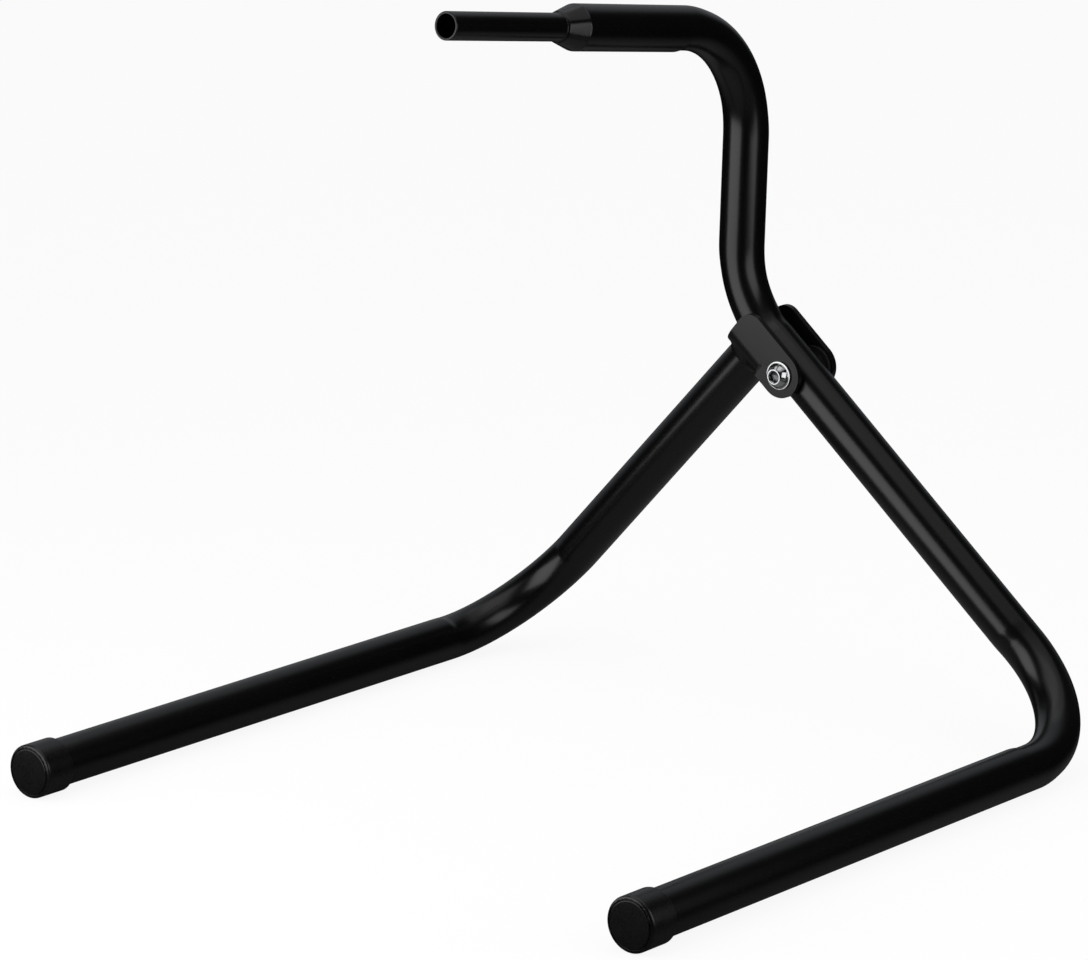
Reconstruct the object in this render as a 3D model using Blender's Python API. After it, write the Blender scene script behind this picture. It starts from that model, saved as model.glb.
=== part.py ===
"""A folding bottom bracket bike stand.

Two bent steel tubes, hinged together, stand on the floor. The main tube rises from its foot along a diagonal,
through the hinge, into an upright and an arm, whose crimped end holds a pin for the bicycle's hollow crank
spindle. The leg tube is welded to a sheet steel bracket that straddles the main tube and folds about a bolt.

Metres, +Z up, with the origin in the middle of the floor area that the stand covers. The stand is drawn in its
own frame, whose Z = 0 is at the axes of the feet. The diagonals, the upright and the fold lie in the frame's XZ
plane, the tube plane, and the feet and the arm point from it towards -Y. The caps are thicker than the tubes,
so the whole stand leans back a little, onto the bends behind the feet.
"""

from math import atan, ceil, cos, pi, radians, sin, tan

import bmesh
import bpy
from mathutils import Matrix, Vector

# Fits between pieces
GAP = 0.0003                      # between two pieces that touch
FOLD_CLEARANCE = 0.0005           # bracket's web to main tube, when folded
FOLD_ANGLE = radians(90)          # from the stop to the folded leg

# Tubes
TUBE_DIAMETER = 0.0222
TUBE_WALL = 0.0015
BEND_DEPTH = 0.935                # depth of a bent tube in the plane of its bend, as a share of its diameter

# Main tube, measured along the axes of its straight runs to the corners where these meet
MAIN_SLOPE = radians(40.52)       # diagonal, from the floor
MAIN_DIAGONAL = 0.2819            # foot's corner to upright's corner
UPRIGHT_LEAN = radians(2.09)      # from the vertical, towards the main foot
ARM_HEIGHT = 0.3153               # feet to the corner of upright and arm
ARM_RISE = radians(7.59)
ARM_LENGTH = 0.1483               # corner to the crimped end
FOOT_BEND = 0.0575                # radius of each bend, at the tube's axis
UPRIGHT_BEND = 0.058
ARM_BEND = 0.060

# Leg
LEG_SLOPE = radians(46.85)        # diagonal, from the floor
FOOT_REACH = 0.3572               # tube plane to the outer end of each foot's cap

# Crimped end of the arm, and its pin
CRIMP_LENGTH = 0.0117
CRIMP_FLATS = 8
CRIMP_WALL = 0.0004               # steel between the pin's bore and the middle of each flat, at the end
NECK_LENGTH = 0.003               # over which the tube's bore narrows to the pin's
PIN_DIAMETER = 0.0133
PIN_WALL = 0.0013
PIN_REACH = 0.080                 # beyond the crimped end
PIN_INSERTION = 0.025             # behind it
PIN_CHAMFER = 0.0003
PIN_WELD_SIZE = 0.0015            # along the pin
PIN_WELD_WIDTH = 0.0006
PIN_WELD_EDGE = 0.0003            # thickness of the weld's thin edge

# Hinge
PIVOT_DISTANCE = 0.2345           # foot's corner to the bolt, along the diagonal
SHEET = 0.003                     # thickness of the bracket
EAR_WIDTH = 0.0224
EAR_CORNER = 0.008                # radius of the ear's upper corner
FOLD_RADIUS = 0.007               # inner radius of the bracket's bends
RELIEF = 0.0015                   # slot between the ear's round end and the web
LEG_WELD_SIZE = 0.0032
LEG_WELD_EDGE = 0.0004            # thickness of the weld's thin edge
WEB_MARGIN = 0.0002               # web's upper edge above the leg
WELD_END = 0.0014                 # weld's end above the web's lower edge
WELD_OVERHANG = 0.0011            # weld's reach past the web's upper edge
BARREL_DIAMETER = 0.008
BARREL_CLEARANCE = 0.0003         # all round the barrel, in each piece that it passes through
BARREL_SETBACK = 0.0008           # barrel's end behind the front ear's face, so that the bolt clamps the ears
BARREL_FLOOR = 0.010              # tube plane to the bottom of the barrel's bore
BOLT_DIAMETER = 0.006
BOLT_LENGTH = 0.024               # under the head
BOLT_CHAMFER = 0.0006
HEAD_DIAMETER = 0.014             # of the bolt and of the barrel nut
HEAD_HEIGHT = 0.0038
HEAD_RIM = 0.0007                 # thickness of the head's thin flange
HEAD_LEDGE = 0.0008               # width of the flange round the dome
HEAD_TOP = 0.0072                 # diameter of the flat top
SOCKET_WIDTH = 0.005              # across flats
SOCKET_DEPTH = 0.0024
SLEEVE_DIAMETER = 0.012
FRICTION_WASHER_DIAMETER = 0.020
FRICTION_WASHER_THICKNESS = 0.0009

# Caps
CAP_LENGTH = 0.017
CAP_WALL = 0.0014
CAP_END = 0.002                   # thickness of the closed end
CAP_SHOULDER = 0.0014             # radius round the end
CAP_GROOVE = 0.0005               # width and depth of the groove round the raised disc
CAP_DISC_CHAMFER = 0.0005
CAP_RIM_CHAMFER = 0.0003

# Facets
TUBE_SIDES = 32
SMALL_SIDES = 32
BEND_STEP = radians(7.6)          # turned by each ring of faces in a bend
ARC_STEP = radians(15)            # turned by each facet of a small arc
CUT_MARGIN = 0.005                # past the surface that a cutter cuts through
SHARP_ANGLE = radians(32)

# Sizes that follow
TUBE_RADIUS = TUBE_DIAMETER / 2
PIN_RADIUS = PIN_DIAMETER / 2
BARREL_RADIUS = BARREL_DIAMETER / 2
BARREL_HOLE = BARREL_RADIUS + BARREL_CLEARANCE
BOLT_RADIUS = BOLT_DIAMETER / 2
BOLT_BORE = BOLT_RADIUS + GAP
PIN_BORE = PIN_RADIUS + GAP
EAR_HALF = EAR_WIDTH / 2
CAP_BORE = TUBE_RADIUS + GAP
CAP_RADIUS = CAP_BORE + CAP_WALL
CAP_FLAT = CAP_RADIUS * cos(pi / TUBE_SIDES)     # cap's axis to the flat strip that it rests on

# Stations of the hinge's stack, outwards from the tube plane
SLEEVE_END = TUBE_RADIUS
FRICTION_WASHER_START = SLEEVE_END + GAP
EAR_INSIDE = FRICTION_WASHER_START + FRICTION_WASHER_THICKNESS + GAP
EAR_OUTSIDE = EAR_INSIDE + SHEET
HEAD_SEAT = EAR_OUTSIDE + GAP
HEAD_END = HEAD_SEAT + HEAD_HEIGHT
BARREL_END = EAR_OUTSIDE - BARREL_SETBACK
BOLT_END = HEAD_SEAT - BOLT_LENGTH

# Stations of the bracket, above the bolt along the diagonal, and below the main tube's axis
WEB_INSIDE = TUBE_RADIUS + GAP
WEB_OUTSIDE = WEB_INSIDE + SHEET
WEB_LOW = (TUBE_RADIUS + FOLD_CLEARANCE - WEB_INSIDE * cos(FOLD_ANGLE)) / sin(FOLD_ANGLE)
LEG_OFFSET = WEB_LOW + GAP + TUBE_RADIUS
WEB_HIGH = LEG_OFFSET + TUBE_RADIUS + WEB_MARGIN
FOLD_CENTRE = WEB_INSIDE - FOLD_RADIUS           # height of the centre of the bracket's bends
FOLD_SIDE = EAR_INSIDE - FOLD_RADIUS             # and its distance from the tube plane

# Main parts, in the stand's own frame
RIM_DISTANCE = FOOT_REACH - CAP_LENGTH               # tube plane to the rim of each cap
FOOT_LENGTH = FOOT_REACH - CAP_END - GAP             # tube plane to the tube's end
LEG_JOINT_DISTANCE = PIVOT_DISTANCE + LEG_OFFSET     # foot's corner to the leg's axis, along the diagonal
LEG_DIAGONAL = LEG_JOINT_DISTANCE * sin(MAIN_SLOPE) / sin(LEG_SLOPE)
FEET_SPACING = LEG_JOINT_DISTANCE * cos(MAIN_SLOPE) + LEG_DIAGONAL * cos(LEG_SLOPE)
MAIN_UP = Vector((-cos(MAIN_SLOPE), 0, sin(MAIN_SLOPE)))
LEG_UP = Vector((cos(LEG_SLOPE), 0, sin(LEG_SLOPE)))
UPRIGHT_UP = Vector((sin(UPRIGHT_LEAN), 0, cos(UPRIGHT_LEAN)))
FOOT_HEADING = Vector((0, -1, 0))
ARM_HEADING = Vector((0, -cos(ARM_RISE), sin(ARM_RISE)))
MAIN_CORNER = Vector((FEET_SPACING / 2, 0, 0))
LEG_CORNER = Vector((-FEET_SPACING / 2, 0, 0))
UPRIGHT_CORNER = MAIN_CORNER + MAIN_DIAGONAL * MAIN_UP
UPRIGHT_LENGTH = (ARM_HEIGHT - UPRIGHT_CORNER.z) / UPRIGHT_UP.z
ARM_CORNER = UPRIGHT_CORNER + UPRIGHT_LENGTH * UPRIGHT_UP
ARM_END = ARM_CORNER + ARM_LENGTH * ARM_HEADING
PIVOT = MAIN_CORNER + PIVOT_DISTANCE * MAIN_UP

# Frames of the feet and of the hinge, where X runs down the main diagonal, Y across and Z away from its underside.
# The leg is seen from the hinge, with which it turns.
HINGE_FRAME = Matrix.Translation(PIVOT) @ Matrix.Rotation(MAIN_SLOPE, 4, "Y")
MAIN_FRAME = Matrix.Translation(MAIN_CORNER)
LEG_FRAME = HINGE_FRAME.inverted() @ Matrix.Translation(LEG_CORNER)
FRONT_SIDE = Matrix.Rotation(pi / 2, 4, "X")         # on the bolt's axis, with Z towards the front
REAR_SIDE = Matrix.Rotation(-pi / 2, 4, "X")

# The stand's place on the floor: it rests on its caps' rims and on the starts of the bends
LEAN = atan((CAP_FLAT - TUBE_RADIUS) / (RIM_DISTANCE - FOOT_BEND))
LIFT = TUBE_RADIUS * cos(LEAN) - FOOT_BEND * sin(LEAN)
FRONT = FOOT_REACH * cos(LEAN) + CAP_RADIUS * sin(LEAN)
BACK = HEAD_END * cos(LEAN) + (PIVOT.z + HEAD_TOP / 2) * sin(LEAN)
STANCE = Matrix.Translation((0, (FRONT - BACK) / 2, LIFT)) @ Matrix.Rotation(-LEAN, 4, "X")


def clear_scene():
    for item in list(bpy.data.objects):
        bpy.data.objects.remove(item, do_unlink=True)


def finish(name, color, metallic, roughness):
    """A plain material with the piece's colour, metal and gloss."""
    material = bpy.data.materials.new(name)
    material.use_nodes = True
    shader = material.node_tree.nodes["Principled BSDF"]
    shader.inputs["Base Color"].default_value = (*color, 1)
    shader.inputs["Metallic"].default_value = metallic
    shader.inputs["Roughness"].default_value = roughness
    return material


def add_empty(name, frame, carrier=None):
    """An empty that carries pieces. Its frame, like theirs, is given in the frame of its own carrier."""
    empty = bpy.data.objects.new(name, None)
    bpy.context.scene.collection.objects.link(empty)
    empty.parent = carrier
    empty.matrix_basis = frame
    return empty


def add_piece(name, bm, material, frame, carrier):
    """An object of the mesh, placed in its carrier's frame."""
    bmesh.ops.recalc_face_normals(bm, faces=bm.faces)
    mesh = bpy.data.meshes.new(name)
    bm.to_mesh(mesh)
    bm.free()
    mesh.shade_smooth()
    mesh.set_sharp_from_angle(angle=SHARP_ANGLE)
    piece = bpy.data.objects.new(name, mesh)
    bpy.context.scene.collection.objects.link(piece)
    if material:
        mesh.materials.append(material(name))
    piece.parent = carrier
    piece.matrix_basis = frame
    return piece


def add_cutter(name, bm, frame, carrier):
    """An object that only cuts others."""
    cutter = add_piece(name, bm, None, frame, carrier)
    cutter.hide_render = True
    cutter.display_type = "WIRE"
    return cutter


def boolean(piece, cutter, operation="DIFFERENCE"):
    modifier = piece.modifiers.new(cutter.name, "BOOLEAN")
    modifier.operation = operation
    modifier.solver = "EXACT"
    modifier.object = cutter


def frame_along(origin, heading, across=Vector((1, 0, 0))):
    """A frame whose Z runs along the heading and whose X lies as near to across as it can."""
    side = heading.cross(across).normalized()
    frame = Matrix((side.cross(heading), side, heading)).transposed().to_4x4()
    frame.translation = origin
    return frame


def arc(centre, radius, start, end):
    """Points of an arc in a plane, from one angle to another."""
    steps = ceil(abs(end - start) / ARC_STEP)
    angles = [start + (end - start) * step / steps for step in range(steps + 1)]
    return [(centre[0] + radius * cos(angle), centre[1] + radius * sin(angle)) for angle in angles]


def outline_edges(bm, points, closed):
    """Edges through the points."""
    verts = [bm.verts.new(point) for point in points]
    pairs = list(zip(verts, verts[1:]))
    if closed:
        pairs.append((verts[-1], verts[0]))
    return [bm.edges.new(pair) for pair in pairs]


def turned(profile, sides=SMALL_SIDES, closed=True):
    """A round shape about Z, from a profile of radii and heights. Facets lie square to Y."""
    bm = bmesh.new()
    points = [(radius, 0, height) for radius, height in profile]
    edges = outline_edges(bm, points, closed)
    bmesh.ops.rotate(bm, verts=bm.verts, matrix=Matrix.Rotation(pi / 2 + pi / sides, 3, "Z"))
    bmesh.ops.spin(bm, geom=edges, axis=(0, 0, 1), angle=2 * pi, steps=sides, use_merge=True)
    bmesh.ops.remove_doubles(bm, verts=bm.verts, dist=1e-7)
    return bm


def ring_profile(bore, radius, start, end, chamfer=0.0):
    """Profile of a ring, with its outer corners chamfered at the far end."""
    if not chamfer:
        return [(bore, start), (radius, start), (radius, end), (bore, end)]
    return [(bore, start), (radius, start), (radius, end - chamfer), (radius - chamfer, end), (bore, end)]


def prism(outline, start, end):
    """An outline in X and Y, extruded along Z."""
    bm = bmesh.new()
    verts = [bm.verts.new((x, y, start)) for x, y in outline]
    face = bm.faces.new(verts)
    made = bmesh.ops.extrude_face_region(bm, geom=[face])["geom"]
    moved = [item for item in made if isinstance(item, bmesh.types.BMVert)]
    bmesh.ops.translate(bm, verts=moved, vec=(0, 0, end - start))
    return bm


def polygon(sides, width):
    """Corners of a regular polygon of this width across its flats, with flats square to X."""
    corner = width / 2 / cos(pi / sides)
    angles = [(2 * count + 1) * pi / sides for count in range(sides)]
    return [(corner * cos(angle), corner * sin(angle)) for angle in angles]


class TubeEnd:
    """The growing end of a tube: its outer and inner rings of edges, with their centre and heading."""

    def __init__(self, bm, centre, heading, across):
        self.bm = bm
        self.centre = centre.copy()
        self.heading = heading.normalized()
        frame = frame_along(self.centre, self.heading, across)
        self.rings = []
        for radius in (TUBE_RADIUS, TUBE_RADIUS - TUBE_WALL):
            verts = bmesh.ops.create_circle(bm, segments=TUBE_SIDES, radius=radius, matrix=frame)["verts"]
            self.rings.append([edge for edge in bm.edges if edge.verts[0] in verts])
        self.close()

    def verts(self, ring):
        return list(dict.fromkeys(vert for edge in self.rings[ring] for vert in edge.verts))

    def close(self):
        """Joins the two rings by the end's flat face."""
        bmesh.ops.bridge_loops(self.bm, edges=self.rings[0] + self.rings[1])

    def grow(self):
        """Extrudes both rings in place, ready to be moved."""
        for index, ring in enumerate(self.rings):
            made = bmesh.ops.extrude_edge_only(self.bm, edges=ring)["geom"]
            self.rings[index] = [item for item in made if isinstance(item, bmesh.types.BMEdge)]

    def transform(self, matrix):
        bmesh.ops.transform(self.bm, matrix=matrix, verts=self.verts(0) + self.verts(1))
        self.centre = matrix @ self.centre

    def run(self, length):
        """Runs straight on."""
        self.grow()
        self.transform(Matrix.Translation(self.heading * length))

    def squeeze(self, depth, across):
        """Changes the depth of the rings in one direction."""
        centred = Matrix.Translation(self.centre)
        self.transform(centred @ Matrix.Scale(depth, 4, across) @ centred.inverted())

    def bend(self, heading, radius):
        """Bends round to a new heading, flattened in the plane of the bend between its two ends."""
        axis = self.heading.cross(heading).normalized()
        angle = self.heading.angle(heading)
        inward = axis.cross(self.heading)
        centre = Matrix.Translation(self.centre + radius * inward)
        steps = ceil(angle / BEND_STEP)
        turn = Matrix.Rotation(angle / steps, 4, axis)
        for step in range(1, steps + 1):
            self.grow()
            self.transform(centre @ turn @ centre.inverted())
            inward = turn.to_3x3() @ inward
            if step == 1:
                self.squeeze(BEND_DEPTH, inward)
            if step == steps:
                self.squeeze(1 / BEND_DEPTH, inward)
        self.heading = heading.normalized()

    def narrow_bore(self, length, bore):
        """Runs on while the inner ring shrinks to the bore."""
        self.run(length)
        centred = Matrix.Translation(self.centre)
        scale = Matrix.Scale(bore / (TUBE_RADIUS - TUBE_WALL), 4)
        bmesh.ops.transform(self.bm, matrix=centred @ scale @ centred.inverted(), verts=self.verts(1))


def corner_length(before, after, radius):
    """Length from a corner to the start of a bend of this radius round it."""
    return radius * tan(before.angle(after) / 2)


def foot_run(bm, diagonal):
    """Starts a tube at its foot's end and takes it round the bend into its diagonal. The corner is the origin."""
    heading = -FOOT_HEADING
    end = TubeEnd(bm, FOOT_HEADING * FOOT_LENGTH, heading, heading.cross(diagonal))
    used = corner_length(heading, diagonal, FOOT_BEND)
    end.run(FOOT_LENGTH - used)
    end.bend(diagonal, FOOT_BEND)
    return end, used


def main_tube(stand):
    """Drawn along the axes of its straight runs."""
    bm = bmesh.new()
    end, used = foot_run(bm, MAIN_UP)
    for length, heading, next_heading, radius in (
            (MAIN_DIAGONAL, MAIN_UP, UPRIGHT_UP, UPRIGHT_BEND),
            (UPRIGHT_LENGTH, UPRIGHT_UP, ARM_HEADING, ARM_BEND)):
        bend_length = corner_length(heading, next_heading, radius)
        end.run(length - used - bend_length)
        end.bend(next_heading, radius)
        used = bend_length
    end.run(ARM_LENGTH - used - CRIMP_LENGTH - NECK_LENGTH)
    end.narrow_bore(NECK_LENGTH, PIN_BORE)
    end.run(CRIMP_LENGTH)
    end.close()
    tube = add_piece("main_tube", bm, powder_coat, MAIN_FRAME, stand)
    boolean(tube, pivot_cutter("sleeve_hole", SLEEVE_DIAMETER / 2 + GAP, TUBE_RADIUS, HINGE_FRAME, stand))
    boolean(tube, crimp_die(stand))


def pivot_cutter(name, radius, reach, frame, carrier):
    """A cylinder along the bolt's axis, past the surface at this reach on both sides."""
    reach += CUT_MARGIN
    bm = turned([(0, -reach), (radius, -reach), (radius, reach), (0, reach)], closed=False)
    return add_cutter(name, bm, frame @ FRONT_SIDE, carrier)


def crimp_die(stand):
    """A collar with a tapering, many-sided mouth, which presses the flats on the arm's end."""
    taper = (TUBE_RADIUS - PIN_BORE - CRIMP_WALL) / CRIMP_LENGTH
    heights = (-CRIMP_LENGTH - CUT_MARGIN, CUT_MARGIN / 2)
    mouths = [PIN_BORE + CRIMP_WALL - taper * height for height in heights]
    outside = 2 * TUBE_RADIUS
    bm = bmesh.new()
    rings = []
    for half_width, height in ((outside, heights[0]), (mouths[0], heights[0]),
                               (mouths[1], heights[1]), (outside, heights[1])):
        corners = polygon(CRIMP_FLATS, 2 * half_width)
        rings.append(outline_edges(bm, [(x, y, height) for x, y in corners], True))
    for first, second in zip(rings, rings[1:] + rings[:1]):
        bmesh.ops.bridge_loops(bm, edges=first + second)
    return add_cutter("crimp_die", bm, frame_along(ARM_END, ARM_HEADING), stand)


def spindle_pin(stand):
    profile = ring_profile(PIN_RADIUS - PIN_WALL, PIN_RADIUS, -PIN_INSERTION, PIN_REACH, PIN_CHAMFER)
    add_piece("spindle_pin", turned(profile), powder_coat, frame_along(ARM_END, ARM_HEADING), stand)


def pin_weld(stand):
    """A small fillet round the pin, on the crimped end."""
    end = GAP + PIN_WELD_SIZE
    thin = PIN_BORE + PIN_WELD_EDGE
    profile = [(PIN_BORE, GAP), (PIN_BORE + PIN_WELD_WIDTH, GAP), (thin, end), (PIN_BORE, end)]
    add_piece("pin_weld", turned(profile), powder_coat, frame_along(ARM_END, ARM_HEADING), stand)


def leg_tube(fold_axis, envelope):
    bm = bmesh.new()
    end, used = foot_run(bm, LEG_UP)
    end.run(LEG_DIAGONAL - used - WEB_INSIDE + SHEET)
    end.close()
    tube = add_piece("leg_tube", bm, powder_coat, LEG_FRAME, fold_axis)
    boolean(tube, envelope)


def bracket_profile(reach):
    """Right half of the bracket's section beside and below the main tube, outwards and up to its axis."""
    return arc((FOLD_SIDE, -FOLD_CENTRE), FOLD_RADIUS + reach, -pi / 2, 0) + [(EAR_INSIDE + reach, 0)]


def bracket_envelope(fold_axis):
    """What the bracket's outside needs for itself, with a gap all round and open at both ends."""
    right = bracket_profile(SHEET + GAP)
    left = [(-y, z) for y, z in reversed(right)]
    bm = prism([(z, y) for y, z in left + right], -WEB_LOW, WEB_HIGH + 2 * TUBE_RADIUS)
    # The prism's X, Y and Z become the hinge's Z, Y and -X.
    return add_cutter("bracket_envelope", bm, Matrix.Rotation(-pi / 2, 4, "Y"), fold_axis)


def ear_outline():
    """The ear's outline in the hinge's X and Z, from the web's lower edge round to its upper one."""
    relief = -WEB_LOW + RELIEF
    corner = (EAR_CORNER - WEB_HIGH, EAR_HALF - EAR_CORNER)
    points = [(-WEB_LOW, -FOLD_CENTRE), (relief, -FOLD_CENTRE), (relief, -EAR_HALF)]
    points += arc((0, 0), EAR_HALF, -pi / 2, pi / 2)
    points += arc(corner, EAR_CORNER, pi / 2, pi)
    points.append((-WEB_HIGH, -FOLD_CENTRE))
    return points


def hinge_bracket(fold_axis):
    """Half of the sheet's inner face, an ear, a bend and half the web, is mirrored and thickened."""
    bm = bmesh.new()
    verts = [bm.verts.new((x, -EAR_INSIDE, z)) for x, z in ear_outline()]
    bm.faces.new(verts)
    edge = bm.edges.get((verts[0], verts[-1]))
    bend = bmesh.ops.spin(bm, geom=[edge], cent=(0, -FOLD_SIDE, -FOLD_CENTRE), axis=(1, 0, 0),
                          angle=pi / 2, steps=round(pi / 2 / ARC_STEP))
    last = [item for item in bend["geom_last"] if isinstance(item, bmesh.types.BMEdge)]
    web = bmesh.ops.extrude_edge_only(bm, edges=last)["geom"]
    moved = [item for item in web if isinstance(item, bmesh.types.BMVert)]
    bmesh.ops.translate(bm, verts=moved, vec=(0, FOLD_SIDE, 0))
    bmesh.ops.mirror(bm, geom=bm.verts[:] + bm.edges[:] + bm.faces[:], axis="Y", merge_dist=1e-6)
    bracket = add_piece("hinge_bracket", bm, powder_coat, Matrix.Identity(4), fold_axis)
    sheet = bracket.modifiers.new("sheet", "SOLIDIFY")
    sheet.thickness = SHEET
    sheet.offset = 1
    sheet.use_even_offset = True
    boolean(bracket, pivot_cutter("barrel_hole", BARREL_HOLE, EAR_OUTSIDE, Matrix.Identity(4), fold_axis))


def leg_weld(fold_axis, envelope):
    """A fillet round the leg, on the bracket's web and bends, that stops short of the folding main tube."""
    bore = TUBE_RADIUS + GAP
    thick = bore + LEG_WELD_SIZE
    web = LEG_DIAGONAL - WEB_OUTSIDE
    top = web + LEG_WELD_SIZE * 2
    profile = [(bore, web - LEG_WELD_SIZE), (bore + LEG_WELD_EDGE, web - LEG_WELD_SIZE), (thick, web),
               (thick, top), (bore, top)]
    frame = LEG_FRAME @ frame_along(Vector((0, 0, 0)), LEG_UP)
    weld = add_piece("leg_weld", turned(profile, TUBE_SIDES), powder_coat, frame, fold_axis)
    boolean(weld, envelope)
    boolean(weld, weld_limits(fold_axis), "INTERSECT")


def weld_limits(fold_axis):
    """A block from the lowest to the highest point that the weld reaches along the web."""
    low = -(WEB_HIGH + WELD_OVERHANG)
    high = -(WEB_LOW + WELD_END)
    side = 2 * TUBE_RADIUS
    bm = prism([(low, -side), (high, -side), (high, side), (low, side)], -2 * side, 0)
    return add_cutter("weld_limits", bm, Matrix.Identity(4), fold_axis)


def pivot_sleeve(stand):
    profile = ring_profile(BARREL_HOLE, SLEEVE_DIAMETER / 2, -SLEEVE_END, SLEEVE_END)
    add_piece("pivot_sleeve", turned(profile), plain_steel, HINGE_FRAME @ FRONT_SIDE, stand)


def friction_washer(name, side, fold_axis):
    end = FRICTION_WASHER_START + FRICTION_WASHER_THICKNESS
    profile = ring_profile(BARREL_HOLE, FRICTION_WASHER_DIAMETER / 2, FRICTION_WASHER_START, end)
    add_piece(name, turned(profile), black_plastic, side, fold_axis)


def headed(name, shank, side, fold_axis):
    """A shank's profile, with a low domed head and its hexagon socket. Heights run towards the head."""
    rim = HEAD_SEAT + HEAD_RIM
    top = HEAD_TOP / 2
    dome_width = HEAD_DIAMETER / 2 - HEAD_LEDGE - top
    dome_height = HEAD_END - rim
    dome = [(top + dome_width * x, rim + dome_height * y) for x, y in arc((0, 0), 1, 0, pi / 2)]
    head = [(HEAD_DIAMETER / 2, HEAD_SEAT), (HEAD_DIAMETER / 2, rim)] + dome + [(0, HEAD_END)]
    piece = add_piece(name, turned(shank + head, closed=False), chrome, side, fold_axis)
    socket = prism(polygon(6, SOCKET_WIDTH), HEAD_END - SOCKET_DEPTH, HEAD_END + CUT_MARGIN)
    boolean(piece, add_cutter(name + "_socket", socket, side, fold_axis))


def pivot_bolt(fold_axis):
    shank = [(0, BOLT_END), (BOLT_RADIUS - BOLT_CHAMFER, BOLT_END), (BOLT_RADIUS, BOLT_END + BOLT_CHAMFER),
             (BOLT_RADIUS, HEAD_SEAT)]
    headed("pivot_bolt", shank, FRONT_SIDE, fold_axis)


def barrel_nut(fold_axis):
    """Goes through the hinge from the rear, and the bolt screws into its barrel from the front."""
    barrel = [(0, BARREL_FLOOR), (BOLT_BORE, BARREL_FLOOR), (BOLT_BORE, -BARREL_END), (BARREL_RADIUS, -BARREL_END),
              (BARREL_RADIUS, HEAD_SEAT)]
    headed("barrel_nut", barrel, REAR_SIDE, fold_axis)


def foot_cap(name, foot_frame, carrier):
    """A push-on cap with a rounded shoulder and a raised disc on its end. Heights run from its open rim."""
    floor = CAP_LENGTH - CAP_END
    shoulder = CAP_RADIUS - CAP_SHOULDER
    end = CAP_LENGTH - CAP_GROOVE
    disc = shoulder - CAP_GROOVE
    profile = [(0, floor), (CAP_BORE, floor), (CAP_BORE, 0), (CAP_RADIUS - CAP_RIM_CHAMFER, 0),
               (CAP_RADIUS, CAP_RIM_CHAMFER)]
    profile += arc((shoulder, end - CAP_SHOULDER), CAP_SHOULDER, 0, pi / 2)
    profile += [(shoulder, end - CAP_GROOVE), (disc, end - CAP_GROOVE), (disc, CAP_LENGTH - CAP_DISC_CHAMFER),
                (disc - CAP_DISC_CHAMFER, CAP_LENGTH), (0, CAP_LENGTH)]
    bm = turned(profile, TUBE_SIDES, closed=False)
    rim_frame = frame_along(FOOT_HEADING * RIM_DISTANCE, FOOT_HEADING)
    add_piece(name, bm, black_plastic, foot_frame @ rim_frame, carrier)


def powder_coat(piece):
    return finish(piece + "_powder_coat", (0.012, 0.012, 0.013), 0.0, 0.28)


def black_plastic(piece):
    return finish(piece + "_plastic", (0.018, 0.018, 0.019), 0.0, 0.5)


def chrome(piece):
    return finish(piece + "_chrome", (0.85, 0.85, 0.86), 1.0, 0.12)


def plain_steel(piece):
    return finish(piece + "_steel", (0.45, 0.45, 0.46), 1.0, 0.4)


def main():
    clear_scene()
    bpy.context.scene.unit_settings.scale_length = 1.0
    stand = add_empty("stand", STANCE)
    main_tube(stand)
    spindle_pin(stand)
    pin_weld(stand)
    pivot_sleeve(stand)
    foot_cap("main_foot_cap", MAIN_FRAME, stand)

    fold_axis = add_empty("fold_axis", HINGE_FRAME, stand)
    envelope = bracket_envelope(fold_axis)
    hinge_bracket(fold_axis)
    leg_tube(fold_axis, envelope)
    leg_weld(fold_axis, envelope)
    friction_washer("front_friction_washer", FRONT_SIDE, fold_axis)
    friction_washer("rear_friction_washer", REAR_SIDE, fold_axis)
    pivot_bolt(fold_axis)
    barrel_nut(fold_axis)
    foot_cap("leg_foot_cap", LEG_FRAME, fold_axis)


if __name__ == "__main__":
    main()
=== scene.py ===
"""A folding bottom bracket bike stand: bent, powder coated steel tube, a sheet steel hinge and foot caps.

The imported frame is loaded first, and each piece here stands for one of its nodes. The stand is drawn in its
own frame, whose Z = 0 is at the axes of the feet, and then set on the floor, where it leans back a little.
"""

from math import atan, atan2, ceil, cos, exp, hypot, log, pi, radians, sin, sqrt, tan
from typing import NamedTuple

import bmesh
import bpy
from mathutils import Matrix, Vector


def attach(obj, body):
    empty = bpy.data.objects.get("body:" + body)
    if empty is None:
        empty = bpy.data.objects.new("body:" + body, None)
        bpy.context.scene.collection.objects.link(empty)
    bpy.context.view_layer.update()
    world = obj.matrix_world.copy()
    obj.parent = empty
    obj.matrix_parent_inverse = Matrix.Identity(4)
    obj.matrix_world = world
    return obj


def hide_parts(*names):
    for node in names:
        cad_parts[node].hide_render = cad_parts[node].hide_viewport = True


bl_info = {
    "name": "Bottom Bracket Bike Stand",
    "version": (1, 0, 0),
    "blender": (4, 5, 0),
    "location": "3D View > Sidebar > Bike Stand",
    "description": "Builds a folding bicycle display stand around its packed frame",
    "category": "Add Mesh",
}

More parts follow.
